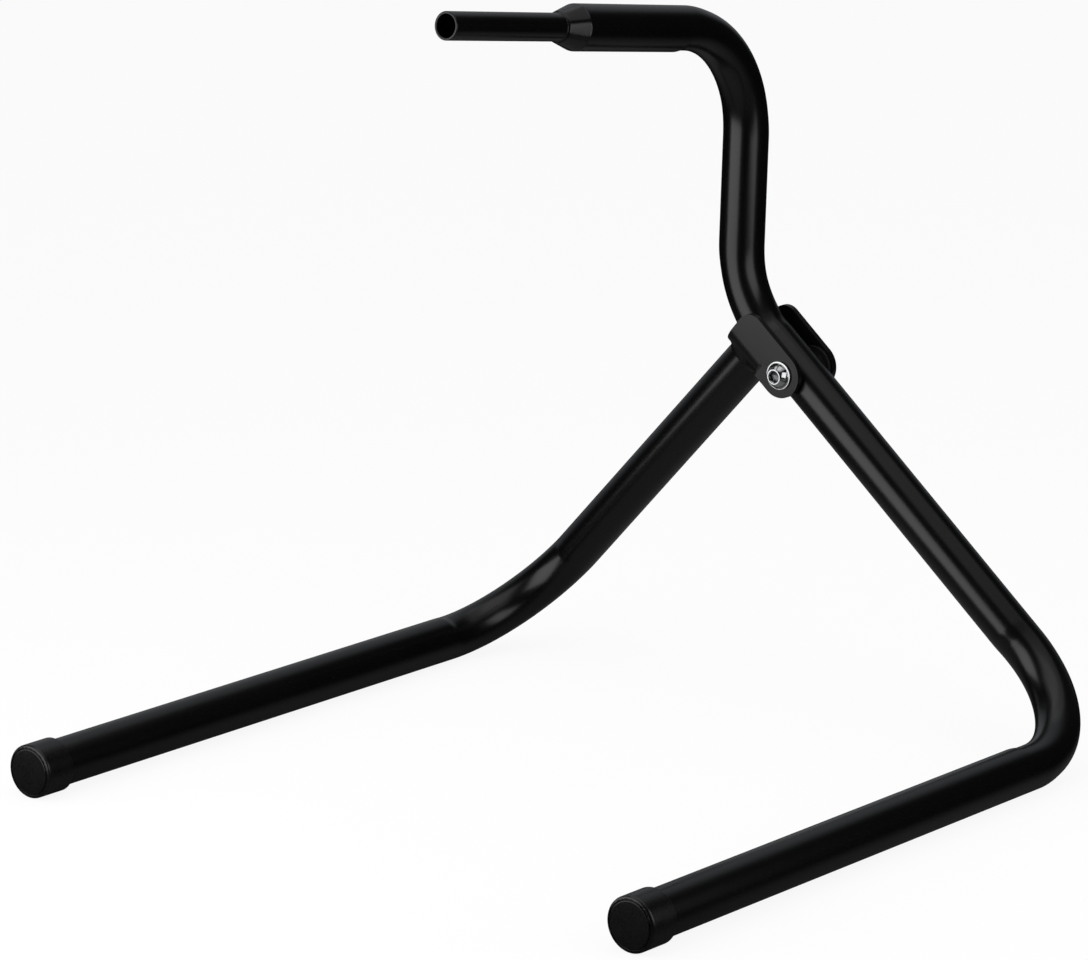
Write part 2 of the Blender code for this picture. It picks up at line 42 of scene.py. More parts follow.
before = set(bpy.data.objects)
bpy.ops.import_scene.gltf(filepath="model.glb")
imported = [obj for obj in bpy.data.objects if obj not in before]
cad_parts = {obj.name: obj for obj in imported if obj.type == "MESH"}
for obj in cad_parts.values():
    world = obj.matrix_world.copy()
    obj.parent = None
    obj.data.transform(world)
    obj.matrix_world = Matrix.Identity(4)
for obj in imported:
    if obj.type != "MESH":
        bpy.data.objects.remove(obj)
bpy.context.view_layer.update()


class Press(NamedTuple):
    """How a die flattens the inner half of a bend. All but the first are lengths."""

    flatter: float  # share of a round tube's depth that is lost
    before: float  # from where the flattening starts to where the bend does
    after: float  # from where the bend ends to where the flattening does
    first: float  # over which it comes at its start
    last: float  # over which it goes at its end

    def depth(self, station, curve):
        """The inner half's depth at a station of a bend of this length, as a share of a round tube's."""
        rise = smooth_step((station + self.before) / self.first)
        fall = smooth_step((curve + self.after - station) / self.last)
        return 1 - self.flatter * rise * fall


# Fits
GAP = 0.0003  # between the frame's solids
TOUCH = 0.00005  # between pieces here that the frame's solids hold apart by the gap
FOLD_CLEARANCE = 0.0005
FOLD_ANGLE = radians(90)

# Bends
FOOT_BEND = 0.0575
UPRIGHT_BEND = 0.058
ARM_BEND = 0.060
MAIN_FOOT_PRESS = Press(0.08, before=0.012, after=0.010, first=0.006, last=0.008)
LEG_FOOT_PRESS = Press(0.08, before=0.006, after=0, first=0.006, last=0.008)
UPRIGHT_PRESS = Press(0.07, before=0, after=0, first=0.008, last=0.022)
ARM_PRESS = Press(0.07, before=0, after=0.009, first=0.022, last=0.005)
PRESS_STEP = 0.0006  # between the rings beside a bend
OUTER_PRESS = 0.045  # how much flatter a bend's outer half is than a round tube's
OUTER_SHOULDER = 0.014  # length over which that comes and goes

# Crimped end of the arm, and its pin
CRIMP_LENGTH = 0.0117
CRIMP_FLATS = 8
CRIMP_WALL = 0.0004
CRIMP_FEATHER = 0.00015  # steel left over the pin at the very end
CRIMP_BLUNT = 1.3  # rise of the end's rounding from the pin
CRIMP_EDGE = 0.0001  # softness of the flats' ends
CRIMP_RIDGE = 0.0008  # softness of the ridges between the flats
CRIMP_SIGHT = 0.5  # cosine of the angle past which a flat has no part in a spot of the surface
CRIMP_STEP = 0.0002  # between the crimp's rings
CRIMP_LEAD = 0.0009  # length of the rings before the flats
DIE_STEP = 0.00035  # depth of the flats at their wide ends, where the die stopped
DIE_SLOPE = 1.0  # slope of that step
NECK_LENGTH = 0.003  # over which the bore narrows to the pin
PIN_WALL = 0.0013
PIN_INSERTION = 0.025
PIN_ROUNDING = 0.0004
PIN_WELD_SIZE = 0.0009
PIN_WELD_WIDTH = 0.00025
PIN_WELD_WAVES = ((0.006, 17, 0), (0.004, 9, 1))  # height as a share of the radius, count and phase

# Hinge
EAR_CORNER = 0.008
FOLD_RADIUS = 0.007
RELIEF = 0.0015
WEB_MARGIN = 0.0002
LEG_SINK = 0.75  # depth of the leg's end in the bracket's web, in sheets
FILLET_HOLLOW = 1.25  # hollowness of the welds' faces
WELD_END = 0.0014
WELD_OVERHANG = 0.0011
WELD_ROOT = 0.0004  # depth of the weld's hidden root
WELD_RIPPLES = 62
WELD_RIPPLE = 0.00011
WELD_BLEND = 0.1  # softness with which the web's ends narrow the weld, in weld sizes
WELD_ASIDE = 0.1  # sine of the angle within which those ends don't narrow it
WELD_LEAST = 0.02  # its least width, in weld sizes
BARREL_RADIUS = 0.004
BARREL_CLEARANCE = 0.0003
BARREL_SETBACK = 0.0008
BARREL_FLOOR = 0.010
BOLT_RADIUS = 0.003
BOLT_LENGTH = 0.024
BOLT_CHAMFER = 0.0006
HEAD_HEIGHT = 0.0038
HEAD_RIM = 0.0007
HEAD_CROWN = 0.0006  # height of the bolt's head over the frame's plainer one
HEAD_TOP = 0.0067  # width of the nut's flat top
BOLT_TOP = 0.0074  # width of the bolt's flat top
HEAD_FILLET = 0.0006
DOME_FOOT = radians(15)  # slope of the head's dome from upright, at its foot and at its top
DOME_TOP = radians(52)
HEAD_ROUNDING = 0.00018
SOCKET_CHAMFER = 0.0003  # of the socket's mouth, at the hexagon's corners
SOCKET_DEPTH = 0.0024
SOCKET_CONE = 0.0014  # depth of the drill's cone in the socket's floor
SOCKET_SHADE_REACH = 0.6  # radius of the socket's painted shade and duller steel, in socket widths
SOCKET_SHADE_SOFT = 0.9  # share of that radius at which the painted shade starts to fade
SOCKET_SHADE_START = 0.0002  # depth in the socket down to which there is no painted shade
SOCKET_SHADE_FULL = 0.0007  # depth from which the painted shade and the socket's extra roughness are full
SLEEVE_RADIUS = 0.006
WASHER_THICKNESS = 0.0009
WASHER_ROUNDING = 0.0002

# Caps
CAP_SIDES = 32  # of the frame's caps, inside whose flats the caps here stay
CAP_END = 0.002
CAP_SHOULDER = 0.0014
CAP_GROOVE = 0.0005
CAP_DISC_ROUNDING = 0.00045
CAP_RIM_ROUNDING = 0.0003
CAP_CROWN = 0.00025  # height of the disc's middle over its edge
CAP_CROWN_RINGS = ((0.8, 0.6), (0.5, 0.25))  # radii in the disc's, and depths below its middle in crowns

# Facets
TUBE_SIDES = 128
TURNED_SIDES = 96
WELD_SIDES = 496
BEND_STEP = radians(1.25)
ARC_STEP = radians(5)
ROUNDING_STEPS = 4
WELD_STEPS = 8
EDGE_SEGMENTS = 3  # across the rounded edges of the bracket's sheet
HOLD = 0.00005  # width of the strips that keep flat faces flat beside a curve
MERGE = 1e-7
MIRROR_MERGE = 1e-6
SHARP_ANGLE = radians(35)

FOOT_HEADING = Vector((0, -1, 0))
X_AXIS = Vector((1, 0, 0))
ORIGIN = Vector((0, 0, 0))
UNMOVED = Matrix.Identity(4)
WHITE = (1, 1, 1, 1)
FRONT_SIDE = Matrix.Rotation(pi / 2, 4, "X")
REAR_SIDE = Matrix.Rotation(-pi / 2, 4, "X")

# Camera, in the stand's frame
CAMERA_PLACE = Vector((1.55661, -2.10935, 0.74347))
CAMERA_AZIMUTH = radians(39.15)
CAMERA_ELEVATION = radians(13.85)
CAMERA_LENS = 183.81  # mm
SENSOR_WIDTH = 36  # mm

# Lamps: setting of the level, place, point that it faces, width, height, and roll about the line between them
LAMPS = (
    ("key", (-0.21, -0.45, 0.225), (0, 0.17, 0.225), 0.68, 0.51, 0),
    ("fill", (0.66, 0.05, 0.33), (-0.03, 0.15, 0.33), 0.50, 0.56, radians(-18)),
    ("top", (0.0, 0.1, 1.02), (0.0, 0.1, 0.0), 1.30, 1.20, 0),
    ("core", (-0.08, 0.0, 1.01), (-0.08, 0.0, 0.0), 0.85, 0.65, 0),
)

# What glossy surfaces see of the studio: its pale walls, as directions with the cosines at which each wall
# starts and is full, and a pale pool on the floor round the stand
WALLS = ((Vector((-0.64, 0.64, 0.42)), (0.66, 0.90)), (Vector((-0.97, 0.1, -0.25)), (0.86, 0.97)))
POOL_CENTRE = Matrix.Translation((0, 0.15, 0))
POOL_EDGE = (0.05, 0.65)  # distances at which the pool starts to fade and is gone
POOL_SLANT = (0.12, 0.60)  # sines of the angles from the floor at which it starts to show and is full

# Finishes. Peel, wave, cloud, speck, grain and haze are sizes of lumps, and a pitch is that of turned rings.
# Tones are the darkest and lightest scale of a colour. A spread is how much the roughness varies with what it
# is named for, or with the clouds or haze. A bump is the height that 1 stands for.
COAT_PEEL = 0.0016
COAT_WAVE = 0.012
COAT_SWELL = 3.0  # height of the waves, in the peel's
COAT_CLOUD = 0.035
COAT_TONES = (0.85, 1.2)
COAT_SPREAD = 0.05
COAT_BUMP = 0.000004
WELD_BUMP = 3.0  # height of the leg weld's grain, in the tubes'
SPECK = 0.0007
SPECK_EDGE = (0.74, 0.80)  # levels of the noise at which a speck starts and is full
SPECK_TONE = 3.5  # of the coat
SPECK_COVER = 0.5  # share of that tone in a full speck
SPECK_SPREAD = 0.12
CAP_GRAIN = 0.00035
CAP_GRAIN_EDGE = (0.6, 0.8)  # levels of the noise at which a pale grain starts and is full
CAP_GRAIN_TONE = 1.8  # of the plastic
CAP_GRAIN_COVER = 0.4  # share of that tone in a full grain
CAP_GRAIN_SPREAD = 0.06
CAP_CLOUD = 0.006
CAP_SWELL = 2.0  # height of the clouds, in the grain's
CAP_TONES = (0.85, 1.25)
CAP_SPREAD = 0.08
CAP_BUMP = 0.000003
NYLON_GRAIN = 0.0004
NYLON_TONES = (0.7, 1.4)
NYLON_ROUGHNESS = 0.55
NYLON_SPREAD = 0.1
NYLON_BUMP = 0.00001
PLATING_PITCH = 0.001885
PLATING_HAZE = 0.002
PLATING_SWELL = 2.0  # height of the haze, in the rings'
PLATING_TONES = (0.94, 1.03)
PLATING_SPREAD = 0.06
PLATING_RING_SPREAD = 0.02
PLATING_BUMP = 0.0000006
SOCKET_SPREAD = 0.22
STEEL_PITCH = 0.002199
STEEL_HAZE = 0.0015
STEEL_TONES = (0.85, 1.1)
STEEL_ROUGHNESS = 0.385
STEEL_SPREAD = 0.12
STEEL_RING_SPREAD = 0.05
STEEL_BUMP = 0.000003
WAVE_RATE = 20  # phase that a wave texture runs through in 1 m, at a scale of 1
FLOOR_REACH = 9.0  # from the floor's middle to its edges
FLOOR_CELLS = 8  # along each edge
FLOOR_GRAIN = 0.05
FLOOR_MOTTLE = 0.02  # how much the floor's brightness varies


def number(name, description, default, **limits):
    return bpy.props.FloatProperty(name=name, description=description, default=default, **limits)


def length(name, description, default):
    return number(name, description, default, min=0, precision=4, subtype="DISTANCE", unit="LENGTH")


def slope(name, description, default):
    return number(name, description, radians(default), subtype="ANGLE", unit="ROTATION")


def share(name, description, default):
    return number(name, description, default, min=0, max=1, subtype="FACTOR")


def level(name, description, default):
    return number(name, description, default, min=0)


def colour(name, description, default):
    return bpy.props.FloatVectorProperty(name=name, description=description, default=default, min=0,
                                         max=1, subtype="COLOR")


class StandSizes(bpy.types.PropertyGroup):
    """Sizes of the stand. The defaults, but for the edges' rounding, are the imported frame's own."""

    tube_diameter: length("Tube diameter", "Outer diameter of both bent tubes", 0.0222)
    tube_wall: length("Tube wall", "Thickness of the tubes' steel", 0.0015)
    main_slope: slope("Main slope", "Main tube's diagonal, from the floor", 40.52)
    main_diagonal: length("Main diagonal", "Foot's corner to upright's corner, along the tube's axis", 0.2819)
    upright_lean: slope("Upright lean", "Upright, from the vertical, towards the main foot", 2.09)
    arm_height: length("Arm height", "Axes of the feet to the corner of upright and arm", 0.3153)
    arm_rise: slope("Arm rise", "Arm, from the horizontal", 7.59)
    arm_length: length("Arm length", "Upright's corner to the crimped end", 0.1483)
    leg_slope: slope("Leg slope", "Folding leg's diagonal, from the floor", 46.85)
    foot_reach: length("Foot reach", "Plane of the diagonals to the outer end of each cap", 0.3572)
    pin_diameter: length("Pin diameter", "Outer diameter of the pin for the crank spindle", 0.0133)
    pin_reach: length("Pin reach", "Length of the pin beyond the crimped end", 0.080)
    pivot_distance: length("Pivot distance", "Foot's corner to the bolt, along the main diagonal", 0.2345)
    sheet: length("Sheet", "Thickness of the hinge's bracket", 0.003)
    ear_width: length("Ear width", "Width of the bracket's ears", 0.0224)
    edge_rounding: length("Edge rounding", "Width of the rounded edges of the bracket's sheet", 0.00042)
    weld_size: length("Weld size", "Leg of the fillet between leg and bracket", 0.0032)
    head_diameter: length("Head diameter", "Diameter of the bolt's and the barrel nut's heads", 0.014)
    socket_width: length("Socket width", "Hexagon socket, across its flats", 0.005)
    washer_diameter: length("Washer diameter", "Diameter of the two friction washers", 0.020)
    cap_length: length("Cap length", "Length of the foot caps", 0.017)
    cap_wall: length("Cap wall", "Thickness of the foot caps round the tube", 0.0014)


class StandFinishes(bpy.types.PropertyGroup):
    """Colours and gloss of the stand's materials."""

    coat: colour("Powder coat", "Colour of the coated steel", (0.0008, 0.0008, 0.0009))
    coat_roughness: share("Coat roughness", "Roughness of the tubes' powder coat", 0.25)
    bracket_roughness: share("Bracket roughness", "Roughness of the bracket's coat, which lies thinner", 0.33)
    plastic: colour("Cap plastic", "Colour of the foot caps", (0.0014, 0.0014, 0.0016))
    plastic_roughness: share("Cap roughness", "Roughness of the foot caps", 0.28)
    nylon: colour("Washer nylon", "Colour of the friction washers", (0.004, 0.004, 0.004))
    chrome: colour("Chrome", "Colour of the plated bolt and nut", (0.60, 0.605, 0.615))
    chrome_roughness: share("Chrome roughness", "Roughness of the plating", 0.13)
    # Painted shade: this darker colour is put down in the sockets, where shade falls
    socket: colour("Socket", "Colour down in the sockets, where plating is thin", (0.16, 0.165, 0.17))
    steel: colour("Turned steel", "Colour of the bare sleeve", (0.45, 0.45, 0.46))


class StudioSettings(bpy.types.PropertyGroup):
    """Floor, world and lamps. A level of 1 is the brightness of white."""

    floor: share("Floor", "Brightness of the floor's own colour", 0.9)
    glow: share("Glow", "Share of the floor's light that no shadow falls on", 0.9)
    pool: share("Pool", "Brightness of the floor round the stand, in glossy surfaces", 0.19)
    world: level("World", "Level of the soft light from all round", 0.6)
    surround: level("Surround", "Level that glossy surfaces reflect from the dark sides of the studio", 0.01)
    wall: level("Wall", "Level that glossy surfaces reflect from the wall at the back and left", 0.27)
    tint: colour("Tint", "Colour of the walls in glossy surfaces", (0.90, 0.95, 1.0))
    key: level("Key", "Level of the lamp at the front left", 1.8)
    fill: level("Fill", "Level of the lamp at the right", 1.45)
    top: level("Top", "Level of the wide lamp above", 0.40)
    core: level("Core", "Level that the lamp above has more in its middle", 0.42)


class Plan:
    """Sizes and places that follow from the settings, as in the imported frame's source."""

    def __init__(self, sizes):
        self.sizes = sizes
        self.radius = sizes.tube_diameter / 2
        self.bore = self.radius - sizes.tube_wall
        self.pin_radius = sizes.pin_diameter / 2
        self.pin_bore = self.pin_radius + GAP
        self.cap_corner = self.radius + GAP + sizes.cap_wall
        self.cap_radius = self.cap_corner * cos(pi / CAP_SIDES)
        self.plan_hinge(sizes)
        self.plan_stand(sizes)

    def plan_hinge(self, sizes):
        """Stations outwards from the tube plane, and from the main tube's axis."""
        self.ear_half = sizes.ear_width / 2
        self.ear_inside = self.radius + GAP + WASHER_THICKNESS + GAP
        self.ear_outside = self.ear_inside + sizes.sheet
        self.head_end = self.ear_outside + GAP + HEAD_HEIGHT
        self.web_inside = self.radius + GAP
        self.web_outside = self.web_inside + sizes.sheet
        self.web_low = (self.radius + FOLD_CLEARANCE - self.web_inside * cos(FOLD_ANGLE)) / sin(FOLD_ANGLE)
        self.leg_offset = self.web_low + GAP + self.radius
        self.web_high = self.leg_offset + self.radius + WEB_MARGIN
        self.fold_centre = self.web_inside - FOLD_RADIUS
        self.fold_side = self.ear_inside - FOLD_RADIUS

    def plan_stand(self, sizes):
        """Main parts, in the stand's own frame."""
        self.rim_distance = sizes.foot_reach - sizes.cap_length
        self.foot_length = sizes.foot_reach - CAP_END - GAP
        joint = sizes.pivot_distance + self.leg_offset
        self.leg_diagonal = joint * sin(sizes.main_slope) / sin(sizes.leg_slope)
        spacing = joint * cos(sizes.main_slope) + self.leg_diagonal * cos(sizes.leg_slope)
        self.main_up = Vector((-cos(sizes.main_slope), 0, sin(sizes.main_slope)))
        self.leg_up = Vector((cos(sizes.leg_slope), 0, sin(sizes.leg_slope)))
        self.upright_up = Vector((sin(sizes.upright_lean), 0, cos(sizes.upright_lean)))
        self.arm_heading = Vector((0, -cos(sizes.arm_rise), sin(sizes.arm_rise)))
        self.main_corner = Vector((spacing / 2, 0, 0))
        self.leg_corner = Vector((-spacing / 2, 0, 0))
        upright_corner = self.main_corner + sizes.main_diagonal * self.main_up
        self.upright_length = (sizes.arm_height - upright_corner.z) / self.upright_up.z
        arm_corner = upright_corner + self.upright_length * self.upright_up
        self.arm_end = arm_corner + sizes.arm_length * self.arm_heading
        pivot = self.main_corner + sizes.pivot_distance * self.main_up
        lean = atan((self.cap_radius - self.radius) / (self.rim_distance - FOOT_BEND))
        lift = self.radius * cos(lean) - FOOT_BEND * sin(lean)
        front = sizes.foot_reach * cos(lean) + self.cap_corner * sin(lean)
        back = self.head_end * cos(lean) + (pivot.z + HEAD_TOP / 2) * sin(lean)
        self.stance = Matrix.Translation((0, (front - back) / 2, lift)) @ Matrix.Rotation(-lean, 4, "X")
        # X runs down the main diagonal, Y across and Z away from its underside.
        self.hinge = self.stance @ Matrix.Translation(pivot) @ Matrix.Rotation(sizes.main_slope, 4, "Y")
        self.main_frame = self.stance @ Matrix.Translation(self.main_corner)
        self.leg_frame = self.stance @ Matrix.Translation(self.leg_corner)
        self.arm_frame = self.stance @ frame_along(self.arm_end, self.arm_heading)

    def bracket_depth(self, across):
        """The bracket's outer face, from the main tube's axis, at a distance from the tube plane."""
        past = min(max(abs(across) - self.fold_side, 0), FOLD_RADIUS + self.sizes.sheet)
        return self.fold_centre + sqrt((FOLD_RADIUS + self.sizes.sheet) ** 2 - past ** 2)


def frame_along(origin, heading, across=X_AXIS):
    """A frame whose Z runs along the heading and whose X lies as near to across as it can."""
    side = heading.cross(across).normalized()
    made = Matrix((side.cross(heading), side, heading)).transposed().to_4x4()
    made.translation = origin
    return made


def arc(centre, radius, start, end):
    """Points of an arc in a plane, from one angle to another."""
    steps = ceil(abs(end - start) / ARC_STEP)
    angles = [start + (end - start) * step / steps for step in range(steps + 1)]
    return [(centre[0] + radius * cos(angle), centre[1] + radius * sin(angle)) for angle in angles]


def rounded(corners):
    """An outline through corners, with their roundings. Points beside each curve keep the sides flat."""
    points = []
    for index, (x, y, rounding) in enumerate(corners):
        corner = Vector((x, y))
        if not rounding:
            points.append(corner)
            continue
        before = (Vector(corners[index - 1][:2]) - corner).normalized()
        after = (Vector(corners[(index + 1) % len(corners)][:2]) - corner).normalized()
        half = before.angle(after) / 2
        centre = corner + (before + after).normalized() * (rounding / sin(half))
        start = corner + before * (rounding / tan(half)) - centre
        end = corner + after * (rounding / tan(half)) - centre
        shares = [step / ROUNDING_STEPS for step in range(ROUNDING_STEPS + 1)]
        curve = [centre + rounding * start.slerp(end, share) for share in shares]
        points += [curve[0] + before * HOLD, *curve, curve[-1] + after * HOLD]
    return [tuple(point) for point in points]


def outline_edges(bm, points, closed):
    """Edges through the points."""
    verts = [bm.verts.new(point) for point in points]
    pairs = list(zip(verts, verts[1:]))
    if closed:
        pairs.append((verts[-1], verts[0]))
    return [bm.edges.new(pair) for pair in pairs]


def turned(profile, sides=TURNED_SIDES, closed=True):
    """A round shape about Z, from a profile of radii and heights."""
    bm = bmesh.new()
    edges = outline_edges(bm, [(radius, 0, height) for radius, height in profile], closed)
    bmesh.ops.spin(bm, geom=edges, axis=(0, 0, 1), angle=2 * pi, steps=sides, use_merge=True)
    bmesh.ops.remove_doubles(bm, verts=bm.verts, dist=MERGE)
    return bm


def made_edges(made):
    return [item for item in made["geom"] if isinstance(item, bmesh.types.BMEdge)]


def made_verts(made):
    return [item for item in made["geom"] if isinstance(item, bmesh.types.BMVert)]


def add_object(name, data):
    made = bpy.data.objects.new(name, data)
    bpy.context.scene.collection.objects.link(made)
    return made


def finished_mesh(name, bm, material):
    mesh = bpy.data.meshes.new(name)
    bm.to_mesh(mesh)
    bm.free()
    mesh.materials.append(material)
    return mesh


def add_piece(name, bm, place, material, body, node):
    """An object of the mesh, whose place is in its vertices, that stands for a node of the frame."""
    bmesh.ops.transform(bm, matrix=place, verts=bm.verts)
    bmesh.ops.recalc_face_normals(bm, faces=bm.faces)
    mesh = finished_mesh(name, bm, material)
    mesh.shade_smooth()
    mesh.set_sharp_from_angle(angle=SHARP_ANGLE)
    piece = add_object(name, mesh)
    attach(piece, body)
    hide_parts(node)
    return piece


def smooth_step(value):
    value = min(max(value, 0), 1)
    return value * value * (3 - 2 * value)


def soft_least(values, softness):
    """The least of the values, with its corners rounded off."""
    least = min(values)
    return least - softness * log(sum(exp((least - value) / softness) for value in values))


class TubeEnd:
    """The growing end of a tube: its outer and inner rings of edges, with their centre and heading."""

    def __init__(self, bm, plan, centre, heading, across):
        self.bm = bm
        self.centre = centre.copy()
        self.heading = heading.normalized()
        place = frame_along(self.centre, self.heading, across)
        self.rings = []
        for radius in (plan.radius, plan.bore):
            verts = bmesh.ops.create_circle(bm, segments=TUBE_SIDES, radius=radius, matrix=place)["verts"]
            self.rings.append([edge for edge in bm.edges if edge.verts[0] in verts])
        self.inner = self.outer = 1.0
        self.close()

    def verts(self, ring):
        return list(dict.fromkeys(vert for edge in self.rings[ring] for vert in edge.verts))

    def close(self):
        """Joins the two rings by the end's flat face."""
        bmesh.ops.bridge_loops(self.bm, edges=self.rings[0] + self.rings[1])

    def grow(self):
        """Extrudes both rings in place, ready to be moved."""
        for index, ring in enumerate(self.rings):
            self.rings[index] = made_edges(bmesh.ops.extrude_edge_only(self.bm, edges=ring))

    def transform(self, matrix):
        bmesh.ops.transform(self.bm, matrix=matrix, verts=self.verts(0) + self.verts(1))
        self.centre = matrix @ self.centre

    def run(self, distance, twist=0.0):
        """Runs straight on, and may turn the rings a little about their own axis."""
        self.grow()
        self.transform(about(self.centre, Matrix.Rotation(twist, 4, self.heading)))
        self.transform(Matrix.Translation(self.heading * distance))

    def straight(self, distance):
        """Runs straight on between two short strips, so that the bends' shading stays in the bends."""
        for part in (HOLD, distance - 2 * HOLD, HOLD):
            self.run(part)

    def flatten(self, inward, inner, outer):
        """Sets the depth of the rings' inner and outer halves, as shares of a round tube's."""
        verts = self.verts(0) + self.verts(1)
        for depth, side in ((inner / self.inner, 1), (outer / self.outer, -1)):
            half = [vert for vert in verts if side * inward.dot(vert.co - self.centre) > 0]
            scale = about(self.centre, Matrix.Scale(depth, 4, inward))
            bmesh.ops.transform(self.bm, matrix=scale, verts=half)
        self.inner, self.outer = inner, outer

    def run_beside(self, distance, inward, press, station, curve):
        """Runs straight on beside a bend, from one of its stations, as flat as the press leaves it there."""
        steps = ceil(distance / PRESS_STEP)
        for step in range(1, steps + 1):
            self.run(distance / steps)
            self.flatten(inward, press.depth(station + distance * step / steps, curve), 1)

    def bend(self, heading, radius, press):
        """Bends round to a new heading. The tube is flattened in the bend, and may be so beside it."""
        axis = self.heading.cross(heading).normalized()
        angle = self.heading.angle(heading)
        curve = radius * angle
        inward = axis.cross(self.heading)
        self.run_beside(press.before, inward, press, -press.before, curve)
        centre = self.centre + radius * inward
        steps = ceil(angle / BEND_STEP)
        turn = Matrix.Rotation(angle / steps, 4, axis)
        for step in range(1, steps + 1):
            self.grow()
            self.transform(about(centre, turn))
            inward = turn.to_3x3() @ inward
            past = curve * step / steps
            shoulder = smooth_step(min(past, curve - past) / OUTER_SHOULDER)
            self.flatten(inward, press.depth(past, curve), 1 - OUTER_PRESS * shoulder)
        self.heading = heading.normalized()
        self.run_beside(press.after, inward, press, curve, curve)


def about(centre, matrix):
    """A turn or scale about a point."""
    return Matrix.Translation(centre) @ matrix @ Matrix.Translation(-centre)


def corner_length(before, after, radius):
    """Length from a corner to the start of a bend of this radius round it."""
    return radius * tan(before.angle(after) / 2)


def foot_run(bm, plan, diagonal, press):
    """Takes a tube from its foot's end round the bend into its diagonal. The foot's corner is the origin."""
    heading = -FOOT_HEADING
    end = TubeEnd(bm, plan, FOOT_HEADING * plan.foot_length, heading, heading.cross(diagonal))
    used = corner_length(heading, diagonal, FOOT_BEND)
    end.straight(plan.foot_length - used - press.before)
    end.bend(diagonal, FOOT_BEND, press)
    return end, used + press.after


def crimp(end, plan):
    """Presses the flats on the arm's end, down to the pin."""
    place = frame_along(plan.arm_end - plan.main_corner, plan.arm_heading)
    unplace = place.inverted()
    spacing = 2 * pi / TUBE_SIDES
    first = unplace @ end.verts(0)[0].co
    twist = -(atan2(first.y, first.x) % spacing)
    start = -CRIMP_LENGTH - CRIMP_LEAD
    end.run((plan.arm_end - plan.main_corner - end.centre).length + start, twist)
    taper = (plan.radius - DIE_STEP - plan.pin_bore - CRIMP_WALL) / CRIMP_LENGTH
    flat_angles = [2 * pi * count / CRIMP_FLATS for count in range(CRIMP_FLATS)]
    steps = ceil(-start / CRIMP_STEP)
    for step in range(1, steps + 1):
        end.run(-start / steps)
        height = start * (1 - step / steps)
        flat = plan.pin_bore + CRIMP_WALL - taper * height + DIE_SLOPE * max(-CRIMP_LENGTH - height, 0)
        blunt = plan.pin_radius + CRIMP_FEATHER - CRIMP_BLUNT * height
        for vert in end.verts(0):
            spot = unplace @ vert.co
            angle = atan2(spot.y, spot.x)
            cosines = [cos(angle - middle) for middle in flat_angles]
            faces = [flat / cosine for cosine in cosines if cosine > CRIMP_SIGHT]
            radius = soft_least([plan.radius, blunt, soft_least(faces, CRIMP_RIDGE)], CRIMP_EDGE)
            vert.co = place @ Vector((radius * cos(angle), radius * sin(angle), spot.z))
        narrowed = smooth_step((height - start) / NECK_LENGTH)
        bore = plan.bore + (plan.pin_radius + TOUCH - plan.bore) * narrowed
        for vert in end.verts(1):
            spot = unplace @ vert.co
            vert.co = place @ Vector((*(spot.xy.normalized() * bore), spot.z))
    end.close()


def build_main_tube(plan, finishes):
    bm = bmesh.new()
    end, used = foot_run(bm, plan, plan.main_up, MAIN_FOOT_PRESS)
    for distance, heading, next_heading, radius, press in (
            (plan.sizes.main_diagonal, plan.main_up, plan.upright_up, UPRIGHT_BEND, UPRIGHT_PRESS),
            (plan.upright_length, plan.upright_up, plan.arm_heading, ARM_BEND, ARM_PRESS)):
        bend_length = corner_length(heading, next_heading, radius)
        end.straight(distance - used - bend_length - press.before)
        end.bend(next_heading, radius, press)
        used = bend_length + press.after
    crimp(end, plan)
    coat = powder_coat("tube_coat", finishes, finishes.coat_roughness)
    add_piece("main_tube_bent", bm, plan.main_frame, coat, "main_frame", "main_tube")


def build_pin(plan, finishes):
    """The open pin, and its small weld on the crimped end."""
    bore = plan.pin_radius - PIN_WALL
    profile = rounded([(bore, -PIN_INSERTION, 0), (plan.pin_radius, -PIN_INSERTION, PIN_ROUNDING),
                       (plan.pin_radius, plan.sizes.pin_reach, PIN_ROUNDING),
                       (bore, plan.sizes.pin_reach, PIN_ROUNDING)])
    coat = powder_coat("pin_coat", finishes, finishes.coat_roughness)
    add_piece("spindle_pin_tube", turned(profile), plan.arm_frame, coat, "main_frame",
              "spindle_pin")

    face = fillet(plan.pin_radius, PIN_WELD_WIDTH, PIN_WELD_SIZE)
    bm = turned([(plan.pin_radius - GAP, -GAP)] + face + [(plan.pin_radius - GAP, face[-1][1])], TUBE_SIDES)
    for vert in bm.verts:
        angle = atan2(vert.co.y, vert.co.x)
        swell = sum(height * sin(count * angle + phase) for height, count, phase in PIN_WELD_WAVES)
        vert.co.xy = vert.co.xy * (1 + swell)
    coat = powder_coat("pin_weld_coat", finishes, finishes.bracket_roughness)
    add_piece("pin_weld_bead", bm, plan.arm_frame, coat, "main_frame", "pin_weld")


def fillet(radius, width, height):
    """A fillet's slightly hollow face, from its toe to the tube that it goes round."""
    points = []
    for step in range(WELD_STEPS + 1):
        angle = pi / 2 * step / WELD_STEPS
        points.append((radius + width * (1 - sin(angle) ** FILLET_HOLLOW),
                       height * (1 - cos(angle) ** FILLET_HOLLOW)))
    return points


def build_leg_tube(plan, finishes):
    bm = bmesh.new()
    end, used = foot_run(bm, plan, plan.leg_up, LEG_FOOT_PRESS)
    end.straight(plan.leg_diagonal - used - plan.web_outside + plan.sizes.sheet * LEG_SINK)
    end.close()
    coat = powder_coat("leg_coat", finishes, finishes.coat_roughness)
    add_piece("leg_tube_bent", bm, plan.leg_frame, coat, "folding_leg", "leg_tube")


